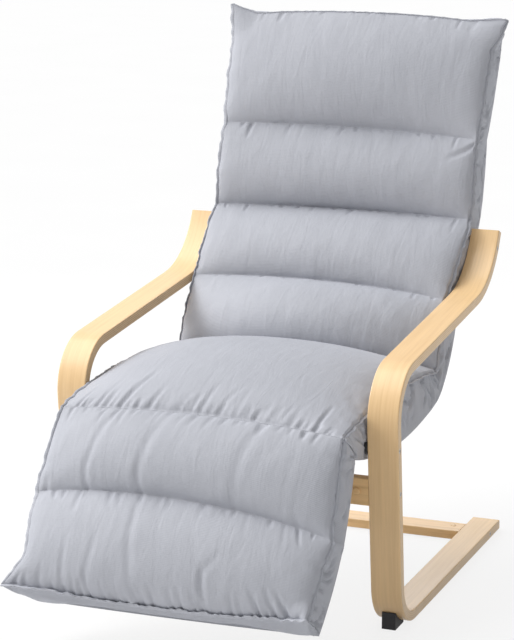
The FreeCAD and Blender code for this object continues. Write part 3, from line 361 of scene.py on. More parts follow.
# Each seam, from the head to the foot: its middle, its ends, the rear seam, its half width, how far its
# right end lies further along, how far the gusset stands out, and the left flange's lean forward
SEAMS = (
    Seam(upper_back(0.449, 0.046), upper_back(0.4330, 0.048), upper_back(0.444, -0.026), 0.290,
         shift(upper_back, -0.0015), 0.006, -6),
    Seam(upper_back(0.2015, 0.045), upper_back(0.189, 0.066), upper_back(0.205, -0.025), 0.281,
         shift(upper_back, -0.0055), 0.005, -6),
    Seam(upper_back(0.026, 0.040), upper_back(0.018, 0.057), upper_back(0.036, -0.033), 0.283,
         shift(upper_back, 0), 0.003, 50),
    Seam(lower_back(0.179, 0.067), lower_back(0.200, 0.078), lower_back(0.170, -0.025), 0.277,
         shift(lower_back, 0.006), 0.003, 85),
    Seam((0.085, 0.458), (0.146, 0.412), lower_back(0.377, -0.027), 0.279,
         shift(lower_back, 0), 0.003, 85),
    Seam((-0.401, 0.426), (-0.407, 0.414), seat(0.030, -0.028), 0.276,
         shift(legrest, 0.002), 0.005, 50),
    Seam(legrest(0.147, 0.075), legrest(0.173, 0.060), legrest(0.165, -0.020), 0.290,
         shift(legrest, 0.0115), 0.008, -6),
    Seam(legrest(0.345, 0.047), legrest(0.334, 0.069), legrest(0.346, -0.020), 0.275,
         shift(legrest, -0.003), 0.006, -6),
)
# Rise of each puff over the line between its seams, in the middle and at its ends, and of its rear side
PUFFS = (Puff(0.036, 0.004, 0.012), Puff(0.032, 0.004, 0.008), Puff(0.032, 0.004, 0.010),
         Puff(0.036, 0.006, 0.021), Puff(0.047, 0.026, 0.036), Puff(0.032, 0.006, 0.008),
         Puff(0.034, 0.006, 0.010))
# The seam under which the two cushions meet
SPLIT_SEAM = 5
# Mesh: its rows crowd at the seams and the front panel's columns at the edges
MESH_SIZE, ROW_CROWDING = 0.0085, 0.68
FRONT_COLUMNS, GUSSET_COLUMNS, REAR_COLUMNS, END_STEPS = 84, 12, 36, 8
COLUMN_ARC = math.radians(80)
# Roundness of the puffs, lengthwise and crosswise, and the wandering of the side edges
MIDDLE_FULLNESS, EDGE_FULLNESS, REAR_FULLNESS, END_FULLNESS = 0.5, 0.8, 0.7, 0.3
PUFF_SAG = 1.3
CROWN_POWER = 2.2
EDGE_ROLL, ROLL_POWER = 0.012, 26
REAR_CROWN = 0.008
EDGE_WANDER, WANDER_LENGTH = 0.0042, 0.016
# How far the two cushions' ends bulge
HEAD_BULGE, SEAT_END_BULGE, KNEE_END_BULGE, FOOT_BULGE = 0.024, -0.004, 0.002, 0.026

Row = namedtuple("Row", "front edge rear half_width skew swell lean place")


def bowed(first, second, share, rise, fullness, sag=1.0):
    """A point on a bowed line between two places; a low fullness gives a tight, round puff."""
    line = Vector(second) - Vector(first)
    outward = Vector((line.y, -line.x)).normalized()
    height = rise * math.sin(math.pi * share ** sag) ** fullness
    return Vector(first).lerp(Vector(second), share) + outward * height


def wander(place, length, lane):
    """A smooth wavering number between about -1 and 1."""
    return noise.noise(Vector((place / length, lane, 0.5)))


def cushion_rows(first, last):
    """The rows of the mesh, each with its places and sizes between two seams."""
    rows = []
    for number in range(first, last):
        start, end, puff = SEAMS[number], SEAMS[number + 1], PUFFS[number]
        length = (Vector(end.middle) - Vector(start.middle)).length
        steps = max(10, round(length * 1.2 / MESH_SIZE))
        for step in range(steps if number < last - 1 else steps + 1):
            even = step / steps
            share = min(1.0, even - ROW_CROWDING * math.sin(2 * math.pi * even) / (2 * math.pi))
            rows.append(Row(
                bowed(start.middle, end.middle, share, puff.middle_rise, MIDDLE_FULLNESS, PUFF_SAG),
                bowed(start.edge, end.edge, share, puff.edge_rise, EDGE_FULLNESS),
                bowed(start.rear, end.rear, share, -puff.rear_rise, REAR_FULLNESS),
                start.half_width + (end.half_width - start.half_width) * share,
                start.skew.lerp(end.skew, share),
                start.swell + (end.swell - start.swell) * share,
                math.radians(start.lean + (end.lean - start.lean) * share),
                number + share))
    return rows


def ring(row):
    """The points of one row, round the cushion: front panel, gusset, rear panel, gusset."""
    right = row.half_width + EDGE_WANDER * wander(row.front.x + row.front.y, WANDER_LENGTH, 1.0)
    left = row.half_width + EDGE_WANDER * wander(row.front.x + row.front.y, WANDER_LENGTH, 2.0)
    forward = (row.edge - row.rear).normalized()
    puffed = math.sin(math.pi * (row.place % 1)) ** EDGE_FULLNESS
    points = []
    for column in range(FRONT_COLUMNS):
        angle = (column / FRONT_COLUMNS * 2 - 1) * COLUMN_ARC
        across = math.sin(angle) / math.sin(COLUMN_ARC)
        place = row.edge.lerp(row.front, 1 - abs(across) ** CROWN_POWER) + row.skew * across
        place += forward * EDGE_ROLL * (1 - abs(across) ** ROLL_POWER) * puffed
        points.append(Vector(((right if across > 0 else left) * across, place.x, place.y)))
    for column in range(GUSSET_COLUMNS):
        down = column / GUSSET_COLUMNS
        place = row.edge.lerp(row.rear, down) + row.skew
        width = right + (row.half_width - right) * down
        points.append(Vector((width + row.swell * math.sin(math.pi * down), place.x, place.y)))
    backwards = (row.rear - row.edge).normalized()
    for column in range(REAR_COLUMNS):
        across = 1 - column / REAR_COLUMNS * 2
        place = row.rear + backwards * REAR_CROWN * (1 - across * across) + row.skew * across
        points.append(Vector((row.half_width * across, place.x, place.y)))
    for column in range(GUSSET_COLUMNS):
        down = column / GUSSET_COLUMNS
        place = row.rear.lerp(row.edge, down) - row.skew
        width = row.half_width + (left - row.half_width) * down
        points.append(Vector((-width - row.swell * math.sin(math.pi * down), place.x, place.y)))
    return points


RIGHT_REAR = FRONT_COLUMNS + GUSSET_COLUMNS
LEFT_REAR = RIGHT_REAR + REAR_COLUMNS
RING_SIZE = LEFT_REAR + GUSSET_COLUMNS


def sleeve(name, rows, rings, start_bulge, end_bulge):
    """The closed mesh of some puffs, with its fixed seams in a vertex group."""
    points = [point for around in rings for point in around]
    faces = []
    for row in range(len(rings) - 1):
        for column in range(RING_SIZE):
            beside = (column + 1) % RING_SIZE
            faces.append((row * RING_SIZE + column, (row + 1) * RING_SIZE + column,
                          (row + 1) * RING_SIZE + beside, row * RING_SIZE + beside))
    last = len(rings) - 1
    close_end(points, faces, 0, rings[0], Vector((0, *start_bulge)), False)
    close_end(points, faces, last * RING_SIZE, rings[last], Vector((0, *end_bulge)), True)
    pinned = set(range(RING_SIZE)) | set(range(last * RING_SIZE, len(rings) * RING_SIZE))
    for index, row in enumerate(rows):
        start = index * RING_SIZE
        pinned.update(start + column for column in (0, FRONT_COLUMNS, RIGHT_REAR, LEFT_REAR))
        if row.place == int(row.place):
            pinned.update(range(start, start + FRONT_COLUMNS))
    mesh = bpy.data.meshes.new(name)
    mesh.from_pydata(points, [], faces)
    mesh.update()
    piece = bpy.data.objects.new(name, mesh)
    bpy.context.scene.collection.objects.link(piece)
    piece.vertex_groups.new(name="seams").add(sorted(pinned), 1.0, "REPLACE")
    write_weave(mesh, rows, rings)
    return piece


def close_end(points, faces, first, rim, bulge, reverse):
    """Fills an end with strips that join the front panel to the rear panel."""
    half_width = rim[FRONT_COLUMNS].x
    start = len(points)
    for step in range(1, END_STEPS):
        share = step / END_STEPS
        for column in range(1, FRONT_COLUMNS):
            slot = (1 - rim[column].x / half_width) / 2 * REAR_COLUMNS
            low = min(max(int(slot), 0), REAR_COLUMNS - 1)
            rear = rim[RIGHT_REAR + low].lerp(rim[RIGHT_REAR + low + 1], slot - low)
            height = math.sin(math.pi * column / FRONT_COLUMNS) ** END_FULLNESS
            height *= math.sin(math.pi * share)
            points.append(rim[column].lerp(rear, share) + bulge * height)

    def index(step, column):
        side = round(step / END_STEPS * GUSSET_COLUMNS)
        if step == 0:
            return first + column
        if column == 0:
            return first + (RING_SIZE - side) % RING_SIZE
        if column == FRONT_COLUMNS:
            return first + FRONT_COLUMNS + side
        if step == END_STEPS:
            slot = round((1 - rim[column].x / half_width) / 2 * REAR_COLUMNS)
            return first + RIGHT_REAR + min(max(slot, 0), REAR_COLUMNS)
        return start + (step - 1) * (FRONT_COLUMNS - 1) + column - 1

    for step in range(END_STEPS):
        for column in range(FRONT_COLUMNS):
            face = [index(step, column), index(step + 1, column),
                    index(step + 1, column + 1), index(step, column + 1)]
            if reverse:
                face.reverse()
            face = list(dict.fromkeys(face))
            if len(face) > 2:
                faces.append(face)


def write_weave(mesh, rows, rings):
    """The weave's UV map in metres, across and along the cushion, and maps that tell the panels."""
    middle = FRONT_COLUMNS // 2
    lengths = [0.0]
    for before, after in zip(rings, rings[1:]):
        lengths.append(lengths[-1] + (after[middle] - before[middle]).length)
    weave = mesh.uv_layers.new(name="weave")
    panel = mesh.uv_layers.new(name="panel")
    sides = mesh.uv_layers.new(name="sides")
    down = mesh.uv_layers.new(name="down")
    for loop in mesh.loops:
        row, column = divmod(loop.vertex_index, RING_SIZE)
        point = mesh.vertices[loop.vertex_index].co
        on_ring = row < len(rings)
        weave.data[loop.index].uv = (point.x, lengths[row] if on_ring else point.z)
        on_right = on_ring and FRONT_COLUMNS < column < RIGHT_REAR
        on_rear = on_ring and RIGHT_REAR < column < LEFT_REAR
        seam = FRONT_COLUMNS if on_right else 0
        from_seam = (point - rings[row][seam]).length if on_ring else 0.0
        panel.data[loop.index].uv = (rows[row].place if on_ring else -1,
                                     on_ring and 0 < column < FRONT_COLUMNS)
        sides.data[loop.index].uv = (on_right, on_ring and column > LEFT_REAR)
        down.data[loop.index].uv = (from_seam, on_rear)


# Folds of the front panel: their puff, their way as (metres to the right, share of the puff), half
# width and depth
Fold = namedtuple("Fold", "puff path width depth")
FOLDS = (
    Fold(0, ((0.150, 0.63), (0.350, 0.565)), 0.008, 0.0060),
    Fold(0, ((-0.192, 0.72), (-0.184, 1.2)), 0.006, 0.0023),
    Fold(0, ((-0.090, 0.76), (-0.104, 1.2)), 0.006, 0.0023),
    Fold(0, ((0.195, 1.02), (0.310, 0.86)), 0.009, 0.0045),
    Fold(1, ((0.222, 0.12), (0.262, 0.07), (0.310, -0.02)), 0.008, 0.0040),
    Fold(1, ((-0.183, 0.80), (-0.140, 1.16)), 0.005, 0.0042),
    Fold(1, ((-0.066, 0.78), (-0.052, 1.2)), 0.005, 0.0042),
    Fold(1, ((-0.002, 0.82), (0.012, 1.2)), 0.005, 0.0049),
    Fold(1, ((0.180, 1.0), (0.310, 0.74)), 0.009, 0.0035),
    Fold(1, ((-0.310, 0.84), (-0.190, 1.02)), 0.008, 0.0042),
    Fold(2, ((0.000, 0.52), (-0.048, 1.25)), 0.006, 0.0048),
    Fold(2, ((-0.104, 0.62), (-0.088, 1.2)), 0.006, 0.0040),
    Fold(2, ((0.170, 1.0), (0.310, 0.80)), 0.009, 0.0040),
    Fold(3, ((-0.022, 0.56), (-0.030, 1.3)), 0.007, 0.0064),
    Fold(3, ((0.102, 0.76), (0.094, 1.2)), 0.005, 0.0048),
    Fold(3, ((0.124, 0.70), (0.140, 1.25)), 0.006, 0.0056),
    Fold(4, ((-0.126, 0.76), (-0.176, 1.12)), 0.006, 0.0048),
    Fold(5, ((-0.120, -0.3), (-0.172, 0.18), (-0.190, 0.42), (-0.176, 0.7)), 0.009, 0.0020),
    Fold(5, ((-0.192, 0.30), (-0.180, 0.7), (-0.160, 1.3)), 0.008, 0.0020),
    Fold(5, ((-0.030, -0.3), (-0.070, 0.25), (-0.082, 0.45), (-0.074, 0.7)), 0.011, 0.0021),
    Fold(5, ((-0.084, 0.30), (-0.074, 0.6), (-0.058, 1.3)), 0.008, 0.0022),
    Fold(5, ((0.146, -0.25), (0.112, 0.25), (0.102, 0.75)), 0.012, 0.0016),
    Fold(5, ((-0.268, 0.42), (-0.284, 1.3)), 0.008, 0.0044),
    Fold(5, ((0.220, 0.40), (0.276, 1.3)), 0.009, 0.0028),
    Fold(6, ((-0.078, -0.3), (-0.068, 0.45), (-0.048, 1.0)), 0.010, 0.0022),
    Fold(6, ((0.108, 0.42), (0.082, 0.60), (0.080, 0.72), (0.086, 0.86)), 0.008, 0.0028),
    Fold(6, ((0.076, 0.50), (0.078, 0.75), (0.096, 1.2)), 0.007, 0.0028),
    Fold(6, ((-0.196, 0.45), (-0.196, 1.0)), 0.008, 0.0020),
    Fold(6, ((-0.134, 0.38), (-0.156, 0.98)), 0.008, 0.0020),
    Fold(6, ((0.166, 0.64), (0.208, 1.25)), 0.006, 0.0033),
    Fold(6, ((0.196, 0.62), (0.234, 1.2)), 0.006, 0.0033),
    Fold(6, ((0.216, 0.66), (0.262, 1.15)), 0.006, 0.0044),
)
# Small gathers over the seam that ends each puff, and fewer under the one that starts it: their
# number, least and most length, lean and depth
Gathers = namedtuple("Gathers", "above below shortest longest lean depth")
GATHERS = (Gathers(22, 12, 0.014, 0.050, 0.1, 0.0036), Gathers(30, 14, 0.014, 0.050, 0.1, 0.0044),
           Gathers(30, 14, 0.014, 0.055, -0.1, 0.0044), Gathers(26, 12, 0.014, 0.045, 0.0, 0.0040),
           Gathers(44, 8, 0.030, 0.100, 0.26, 0.0036), Gathers(40, 24, 0.020, 0.070, 0.10, 0.0036),
           Gathers(30, 20, 0.025, 0.080, -0.1, 0.0034))
GATHER_WIDTH, GATHER_SHARE, LEAN_SPREAD = 0.0052, 0.92, 0.07
FOLD_TAPER, SEAM_HOLD, DEEPEST_FOLD, FOLD_SEED = 0.9, 0.006, 0.0046, 7


def small_gathers(chance, lengths):
    """The gathers at all the seams, as folds."""
    made = []
    for number, kind in enumerate(GATHERS):
        for start, sign, count in ((1.0, -1, kind.above), (0.0, 1, kind.below)):
            for index in range(count):
                across = 2 * (index + chance.random()) / count - 1
                x = across * GATHER_SHARE * SEAMS[number].half_width
                length = kind.shortest + (kind.longest - kind.shortest) * chance.random() ** 2
                aside = -sign * length * (kind.lean + chance.gauss(0, LEAN_SPREAD))
                share = sign * length / lengths[number]
                path = ((x - aside, start - share), (x + aside, start + share))
                width = GATHER_WIDTH * chance.uniform(0.7, 1.3)
                made.append(Fold(number, path, width, kind.depth * chance.uniform(0.4, 1.2)))
    return made


def fold_depth(points, path, width):
    """How strongly a fold along a path acts at each point: a valley between two low ridges."""
    nearest = np.full(len(points), 1.0)
    along = np.zeros(len(points))
    steps = len(path) - 1
    for step in range(steps):
        line = path[step + 1] - path[step]
        share = np.clip((points - path[step]) @ line / (line @ line), 0, 1)
        gap = np.linalg.norm(points - path[step] - share[:, None] * line, axis=1)
        closer = gap < nearest
        nearest[closer] = gap[closer]
        along[closer] = (step + share[closer]) / steps
    reach = (nearest / width) ** 2
    return (1 - reach) * np.exp(-reach) * np.clip(4 * along * (1 - along), 0, 1) ** FOLD_TAPER


def front_folds(weave, panel, first, last, chance):
    """The depth of all the folds of the front panel, held at the channel seams."""
    depth = np.zeros(len(weave))
    spans = {}
    for number in range(first, last):
        inside = (panel[:, 0] >= number) & (panel[:, 0] <= number + 1)
        spans[number] = (weave[inside, 1].min(), weave[inside, 1].max())
    lengths = {number: high - low for number, (low, high) in spans.items()}
    gathers = small_gathers(chance, [lengths.get(number, 1.0) for number in range(len(PUFFS))])
    for fold in [*FOLDS, *gathers]:
        if fold.puff not in spans:
            continue
        low, high = spans[fold.puff]
        path = np.array([(x, low + (high - low) * share) for x, share in fold.path])
        margin = 3 * fold.width
        near = (weave[:, 1] > path[:, 1].min() - margin) & (weave[:, 1] < path[:, 1].max() + margin)
        near &= (panel[:, 0] >= fold.puff) & (panel[:, 0] <= fold.puff + 1)
        points = weave[near]
        held = np.minimum(points[:, 1] - low, high - points[:, 1]) / SEAM_HOLD
        depth[near] += fold.depth * fold_depth(points, path, fold.width) * np.clip(held, 0, 1)
    return np.minimum(depth, DEEPEST_FOLD) * panel[:, 1]


# Wrinkles of the gussets and the rear panel: how many to a metre, their lengths, half width and depth,
# the middle of their panel and how far they spread from it
Wrinkles = namedtuple("Wrinkles", "per_metre shortest longest width depth middle spread")
GUSSET_WRINKLES = Wrinkles(84, 0.030, 0.090, 0.0048, 0.0068, 0.045, 0.045)
REAR_WRINKLES = Wrinkles(26, 0.050, 0.160, 0.0080, 0.0016, 0.0, 0.25)
BEND_WRINKLES = Wrinkles(34, 0.045, 0.100, 0.0062, 0.0120, 0.045, 0.035)
WRINKLE_SLANT, WRINKLE_KINK = 1.0, 0.44
# The part of the cushion, in puffs from the head, whose gussets crumple most: the seat's rear corner
BEND_START, BEND_END = 3.35, 4.45
# A groove along the edge seam in both gussets
SEAM_GROOVE, GROOVE_PLACE, GROOVE_WIDTH = 0.0035, 0.0035, 0.0028


def wrinkles(points, kind, chance):
    """The depth of short kinked folds strewn over a panel, at all slants but mostly across it."""
    depth = np.zeros(len(points))
    low, high = points[:, 1].min(), points[:, 1].max()
    for _ in range(round(kind.per_metre * (high - low))):
        across = kind.middle + chance.uniform(-1, 1) * kind.spread
        place = np.array((across, chance.uniform(low, high)))
        slant = chance.gauss(0, WRINKLE_SLANT)
        reach = chance.uniform(kind.shortest, kind.longest) / 2
        way = np.array((math.cos(slant), math.sin(slant))) * reach
        kink = np.array((-way[1], way[0])) * chance.uniform(-1, 1) * WRINKLE_KINK
        path = np.array((place - way, place + kink, place + way))
        near = np.abs(points[:, 1] - place[1]) < reach + 3 * kind.width
        strength = kind.depth * chance.uniform(0.4, 1.0)
        width = kind.width * chance.uniform(0.7, 1.4)
        depth[near] += strength * fold_depth(points[near], path, width)
    return depth


def press_folds(piece, first, last):
    """Presses the folds and wrinkles into the panels, along their normals."""
    mesh = piece.data
    count = len(mesh.vertices)
    weave, panel = point_map(mesh, "weave"), point_map(mesh, "panel")
    sides, down = point_map(mesh, "sides"), point_map(mesh, "down")
    places, normals = np.empty(count * 3), np.empty(count * 3)
    mesh.vertices.foreach_get("co", places)
    mesh.vertices.foreach_get("normal", normals)
    chance = random.Random(FOLD_SEED)
    depth = front_folds(weave, panel, first, last, chance)
    at_bend = (panel[:, 0] > BEND_START) & (panel[:, 0] < BEND_END)
    for weights, across, kind in ((sides[:, 0], down[:, 0], GUSSET_WRINKLES),
                                  (sides[:, 1], down[:, 0], GUSSET_WRINKLES),
                                  (sides[:, 0] * at_bend, down[:, 0], BEND_WRINKLES),
                                  (sides[:, 1] * at_bend, down[:, 0], BEND_WRINKLES),
                                  (down[:, 1], weave[:, 0], REAR_WRINKLES)):
        inside = weights > 0
        if not inside.any():
            continue
        points = np.stack((across[inside], weave[inside, 1]), axis=1)
        depth[inside] += wrinkles(points, kind, chance) * weights[inside]
        if kind is GUSSET_WRINKLES:
            off_groove = (across[inside] - GROOVE_PLACE) / GROOVE_WIDTH
            depth[inside] += SEAM_GROOVE * np.exp(-off_groove ** 2)
    moved = places.reshape(-1, 3) - normals.reshape(-1, 3) * depth[:, None]
    mesh.vertices.foreach_set("co", moved.ravel())
    for name in ("panel", "sides", "down"):
        mesh.uv_layers.remove(mesh.uv_layers[name])
    mesh.update()


def point_map(mesh, name):
    """A UV map as one pair of numbers for each vertex."""
    corners = np.empty(len(mesh.loops), dtype=np.int32)
    mesh.loops.foreach_get("vertex_index", corners)
    pairs = np.empty(len(mesh.loops) * 2)
    mesh.uv_layers[name].data.foreach_get("uv", pairs)
    made = np.zeros((len(mesh.vertices), 2))
    made[corners] = pairs.reshape(-1, 2)
    return made


# Edge flange: a thin ruffled strip that stands along the front panel's outer seam. On the right it is
# set back into the gusset by a share of its depth and stands straight out
FLANGE_SPACING, FLANGE_POINTS, WAY_SMOOTHING = 0.003, 8, 9
LEFT_FLANGE_HEIGHT, FLANGE_HEIGHT, FLANGE_SET_BACK = 0.0050, 0.0066, 0.085
HEAD_FLANGE_HEIGHT, FOOT_FLANGE_HEIGHT = 0.003, 0.012
FLANGE_THICKNESS, FOOT_FLANGE_THICKNESS = 0.0026, 0.0045
FLANGE_ROOT, FOOT_LEAN = 0.004, math.radians(62)
RUFFLE, RUFFLE_LENGTH = 0.0026, 0.0085
HEIGHT_CHANGE, CHANGE_LENGTH = 0.35, RUFFLE_LENGTH * 1.6


def edge_path(rows, rings, at_foot):
    """The places round a front panel's outer seam, with their outward ways and the flange's sizes."""
    def forward(around, front, rear):
        return (around[front] - around[rear]).normalized()

    def side(order, sign, front, rear):
        for index in order:
            around = rings[index]
            lean = 0 if sign > 0 else rows[index].lean
            way = Vector((sign, 0, 0)) * math.cos(lean)
            way += forward(around, front, rear) * math.sin(lean)
            tall = FLANGE_HEIGHT if sign > 0 else LEFT_FLANGE_HEIGHT
            place = around[front].lerp(around[rear], FLANGE_SET_BACK if sign > 0 else 0)
            yield place, way, tall, FLANGE_THICKNESS

    count = len(rings)
    end, inner = (count - 1, count - 2) if at_foot else (0, 1)
    onward, back = range(count), range(count - 1, -1, -1)
    first_side, second_side = (onward, back) if at_foot else (back, onward)
    height = FOOT_FLANGE_HEIGHT if at_foot else HEAD_FLANGE_HEIGHT
    thickness = FOOT_FLANGE_THICKNESS if at_foot else FLANGE_THICKNESS
    path = list(side(first_side, -1, 0, LEFT_REAR))
    for column in range(1, FRONT_COLUMNS):
        point = rings[end][column]
        outward = (point - rings[inner][column]).normalized()
        way = Vector((0, outward.y, outward.z)) * math.cos(FOOT_LEAN)
        way += forward(rings[end], FRONT_COLUMNS, RIGHT_REAR) * math.sin(FOOT_LEAN)
        path.append((point, way, height, thickness))
    path.extend(side(second_side, 1, FRONT_COLUMNS, RIGHT_REAR))
    return path


def add_flange(piece, path):
    """Sweeps a flat oval along the seam and adds it to the cushion's mesh."""
    places = np.array([entry[0] for entry in path])
    ways = np.array([entry[1] for entry in path])
    sizes = np.array([entry[2:] for entry in path])
    lengths = np.concatenate([[0], np.cumsum(np.linalg.norm(np.diff(places, axis=0), axis=1))])
    stations = np.arange(0, lengths[-1], FLANGE_SPACING)

    def resampled(values):
        return np.stack([np.interp(stations, lengths, column) for column in values.T], axis=1)

    places, ways, sizes = resampled(places), resampled(ways), resampled(sizes)
    soft = np.ones(WAY_SMOOTHING) / WAY_SMOOTHING
    ways = np.stack([np.convolve(column, soft, "same") for column in ways.T], axis=1)
    shape = bmesh.new()
    shape.from_mesh(piece.data)
    weave = shape.loops.layers.uv["weave"]
    previous = None
    for index, station in enumerate(stations):
        after, before = min(index + 1, len(stations) - 1), max(index - 1, 0)
        tangent = Vector(places[after] - places[before]).normalized()
        way = Vector(ways[index]).normalized()
        level = tangent.cross(way).normalized()
        height, thickness = sizes[index]
        ruffle = RUFFLE * wander(station, RUFFLE_LENGTH, 3.0) * (height / FLANGE_HEIGHT)
        tall = height * (1 + HEIGHT_CHANGE * wander(station, CHANGE_LENGTH, 4.0))
        section = []
        for number in range(FLANGE_POINTS):
            angle = 2 * math.pi * number / FLANGE_POINTS
            up = (1 - math.cos(angle)) / 2
            point = Vector(places[index]) + way * (up * (tall + FLANGE_ROOT) - FLANGE_ROOT)
            point += level * (math.sin(angle) * thickness / 2 + ruffle * up)
            section.append(shape.verts.new(point))
        if previous:
            for number in range(FLANGE_POINTS):
                beside = (number + 1) % FLANGE_POINTS
                face = shape.faces.new((previous[number], section[number], section[beside],
                                        previous[beside]))
                for loop in face.loops:
                    loop[weave].uv = (loop.vert.co.x, loop.vert.co.z)
        else:
            shape.faces.new(section)
        previous = section
    shape.faces.new(reversed(previous))
    shape.to_mesh(piece.data)
    shape.free()


# Drawn-out corners: their place, how far their tip moves, how far that reaches and how fast it fades
Ear = namedtuple("Ear", "corner tip reach power")
EARS = (
    Ear((-0.290, *upper_back(0.434, 0.048)), (-0.010, 0.0, 0.024), 0.050, 1.1),
    Ear((0.290, *upper_back(0.432, 0.048)), (0.026, 0.0, 0.010), 0.052, 0.65),
    Ear((-0.272, *legrest(0.340, 0.069)), (-0.046, 0.0, -0.006), 0.065, 1.4),
    Ear((0.275, *legrest(0.332, 0.069)), (0.002, -0.012, 0.004), 0.035, 1.2),
)


def draw_out(piece):
    """Pulls the cushion's corners out into ears."""
    for vertex in piece.data.vertices:
        for ear in EARS:
            gap = (vertex.co - Vector(ear.corner)).length / ear.reach
            if gap < 1:
                vertex.co += Vector(ear.tip) * (1 - gap) ** ear.power


# Cloth: its frames, how far a point may move, and the unevenness of the panels before
PUFF_FRAMES, PUFF_REACH = 16, 0.022
ROUGHEN_DEPTH, ROUGHEN_SIZE = 0.0012, 0.035
CLOTH = {
    "quality": 6,
    "mass": 0.25,
    "tension_stiffness": 14,
    "compression_stiffness": 14,
    "shear_stiffness": 8,
    "bending_stiffness": 0.12,
    "use_pressure": True,
    "uniform_pressure_force": 4.2,
    "vertex_group_mass": "seams",
    "pin_stiffness": 2,
}


def puff_up(piece):
    """Cloth simulation: the panels swell and gather between their fixed seams."""
    normals = [vertex.normal.copy() for vertex in piece.data.vertices]
    for vertex, normal in zip(piece.data.vertices, normals):
        if not vertex.groups:
            vertex.co += normal * noise.noise(vertex.co / ROUGHEN_SIZE) * ROUGHEN_DEPTH
    rest = [vertex.co.copy() for vertex in piece.data.vertices]
    cloth = piece.modifiers.new("puff", "CLOTH")
    for setting, value in CLOTH.items():
        setattr(cloth.settings, setting, value)
    cloth.settings.effector_weights.gravity = 0
    cloth.collision_settings.use_collision = False
    cloth.point_cache.frame_start, cloth.point_cache.frame_end = 1, PUFF_FRAMES
    scene = bpy.context.scene
    for step in range(1, PUFF_FRAMES + 1):
        scene.frame_set(step)
    bpy.context.view_layer.objects.active = piece
    bpy.ops.object.modifier_apply(modifier=cloth.name)
    scene.frame_set(1)
    for vertex, before in zip(piece.data.vertices, rest):
        move = vertex.co - before
        if move.length > PUFF_REACH:
            vertex.co = before + move.normalized() * PUFF_REACH


def make_cushion(name, first, last, start_bulge, end_bulge, at_foot):
    """One cushion from its first seam to its last, with its folds, flange and corners."""
    rows = cushion_rows(first, last)
    rings = [ring(row) for row in rows]
    piece = sleeve(name, rows, rings, start_bulge, end_bulge)
    puff_up(piece)
    bpy.context.view_layer.objects.active = piece
    finer = piece.modifiers.new("finer", "SUBSURF")
    finer.levels = 1
    bpy.ops.object.modifier_apply(modifier=finer.name)
    press_folds(piece, first, last)
    add_flange(piece, edge_path(rows, rings, at_foot))
    draw_out(piece)
    piece.data.materials.append(fabric)
    piece.data.shade_smooth()
    return piece


# Turned birch plugs over the cross nuts of the two wooden rails
PLUG_SPREAD, PLUG_RISE = 1.25, 0.0012


def cover_nuts(node, rail, direction):
    """A low domed plug over each of a rail's two nuts, on the side that the direction names."""
    low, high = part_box(node)
    rail_low, rail_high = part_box(rail)
    axis = 1 if direction.y else 2
    across = 3 - axis
    radius = (high[across] - low[across]) / 2
    for name, x in (("left", low.x + radius), ("right", high.x - radius)):
        place = Vector((x, (low.y + high.y) / 2, (low.z + high.z) / 2))
        place[axis] = rail_low[axis] if direction[axis] < 0 else rail_high[axis]
        bpy.ops.object.select_all(action="DESELECT")
        bpy.ops.mesh.primitive_uv_sphere_add(segments=32, ring_count=16, radius=radius * PLUG_SPREAD,
                                             location=place)
        plug = bpy.context.object
        plug.name = node.replace("dowel_nuts", "plug_") + name
        plug.scale[axis] = PLUG_RISE / (radius * PLUG_SPREAD)
        bpy.ops.object.transform_apply(location=True, rotation=True, scale=True)
        bpy.ops.object.shade_smooth()
        plug.data.materials.append(finishes["solid_birch"])
        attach(plug, "seat_frame")


cover_nuts("front_rail_dowel_nuts", "front_rail", Vector((0, -1, 0)))
cover_nuts("crossbar_dowel_nuts", "floor_crossbar", Vector((0, 0, 1)))

# Places along the back and the legrest where the cushions would bend; they are worked out below and not used
BEND_REACH, KNEE_START, KNEE_END, KNEE_DEPTH = 0.045, -0.005, 0.055, 0.04

back_and_seat = make_cushion("back_and_seat_cushion", 0, SPLIT_SEAM, shift(upper_back, HEAD_BULGE),
                             shift(seat, SEAT_END_BULGE), False)
leg_pad = make_cushion("leg_cushion", SPLIT_SEAM, len(PUFFS), (0, KNEE_END_BULGE),
                       shift(legrest, FOOT_BULGE), True)
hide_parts("seat_cushion", "lower_back_cushion", "upper_back_cushion")
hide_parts("legrest_cushion")
bend_low, bend_high = lower_back(BEND_REACH, 0.0), upper_back(BEND_REACH, 0.0)
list(bend_low)
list(bend_high)
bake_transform(back_and_seat)
knee_start, knee_end = legrest(KNEE_START, KNEE_DEPTH), legrest(KNEE_END, KNEE_DEPTH)
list(knee_start)
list(knee_end)
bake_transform(leg_pad)

# Studio
FLOOR_SIZE, FLOOR_WHITENESS, SKY_STRENGTH = 60, 0.82, 0.37
KEY_PLACE, KEY_AIM, KEY_SIZE, KEY_POWER = (-2.4, -1.3, 2.4), (0, 0, 0.5), 1.0, 33
REAR_PLACE, REAR_AIM, REAR_SIZE, REAR_POWER = (-0.4, 2.2, 1.4), (0.2, 0.3, 0.0), 0.8, 10
SUN_WAY, SUN_STRENGTH, SUN_ANGLE = (0.62, 0.06, -0.78), 2.8, math.radians(60)
backdrop = Finish("studio_floor", Roughness=0.9)
backdrop.shader.inputs["Specular IOR Level"].default_value = 0.1
haze = backdrop.noise(backdrop.place(), 2, 2)
backdrop.feed("Base Color", backdrop.ramp(haze, (0.3, (0.86, 0.86, 0.86)), (0.7, (0.90, 0.90, 0.90))))
rays = [backdrop.node("ShaderNodeLightPath", output=output) for output in (0, 3, 6)]
seen = rays[0].math("MAXIMUM", rays[1]).math("MAXIMUM", rays[2])
glow = backdrop.node("ShaderNodeEmission", None, {"Color": (1, 1, 1, 1), "Strength": 1.0})
lit = Shade(backdrop, backdrop.shader.outputs[0])
lifted = backdrop.node("ShaderNodeMixShader", None, {0: seen * FLOOR_WHITENESS, 1: lit, 2: glow})
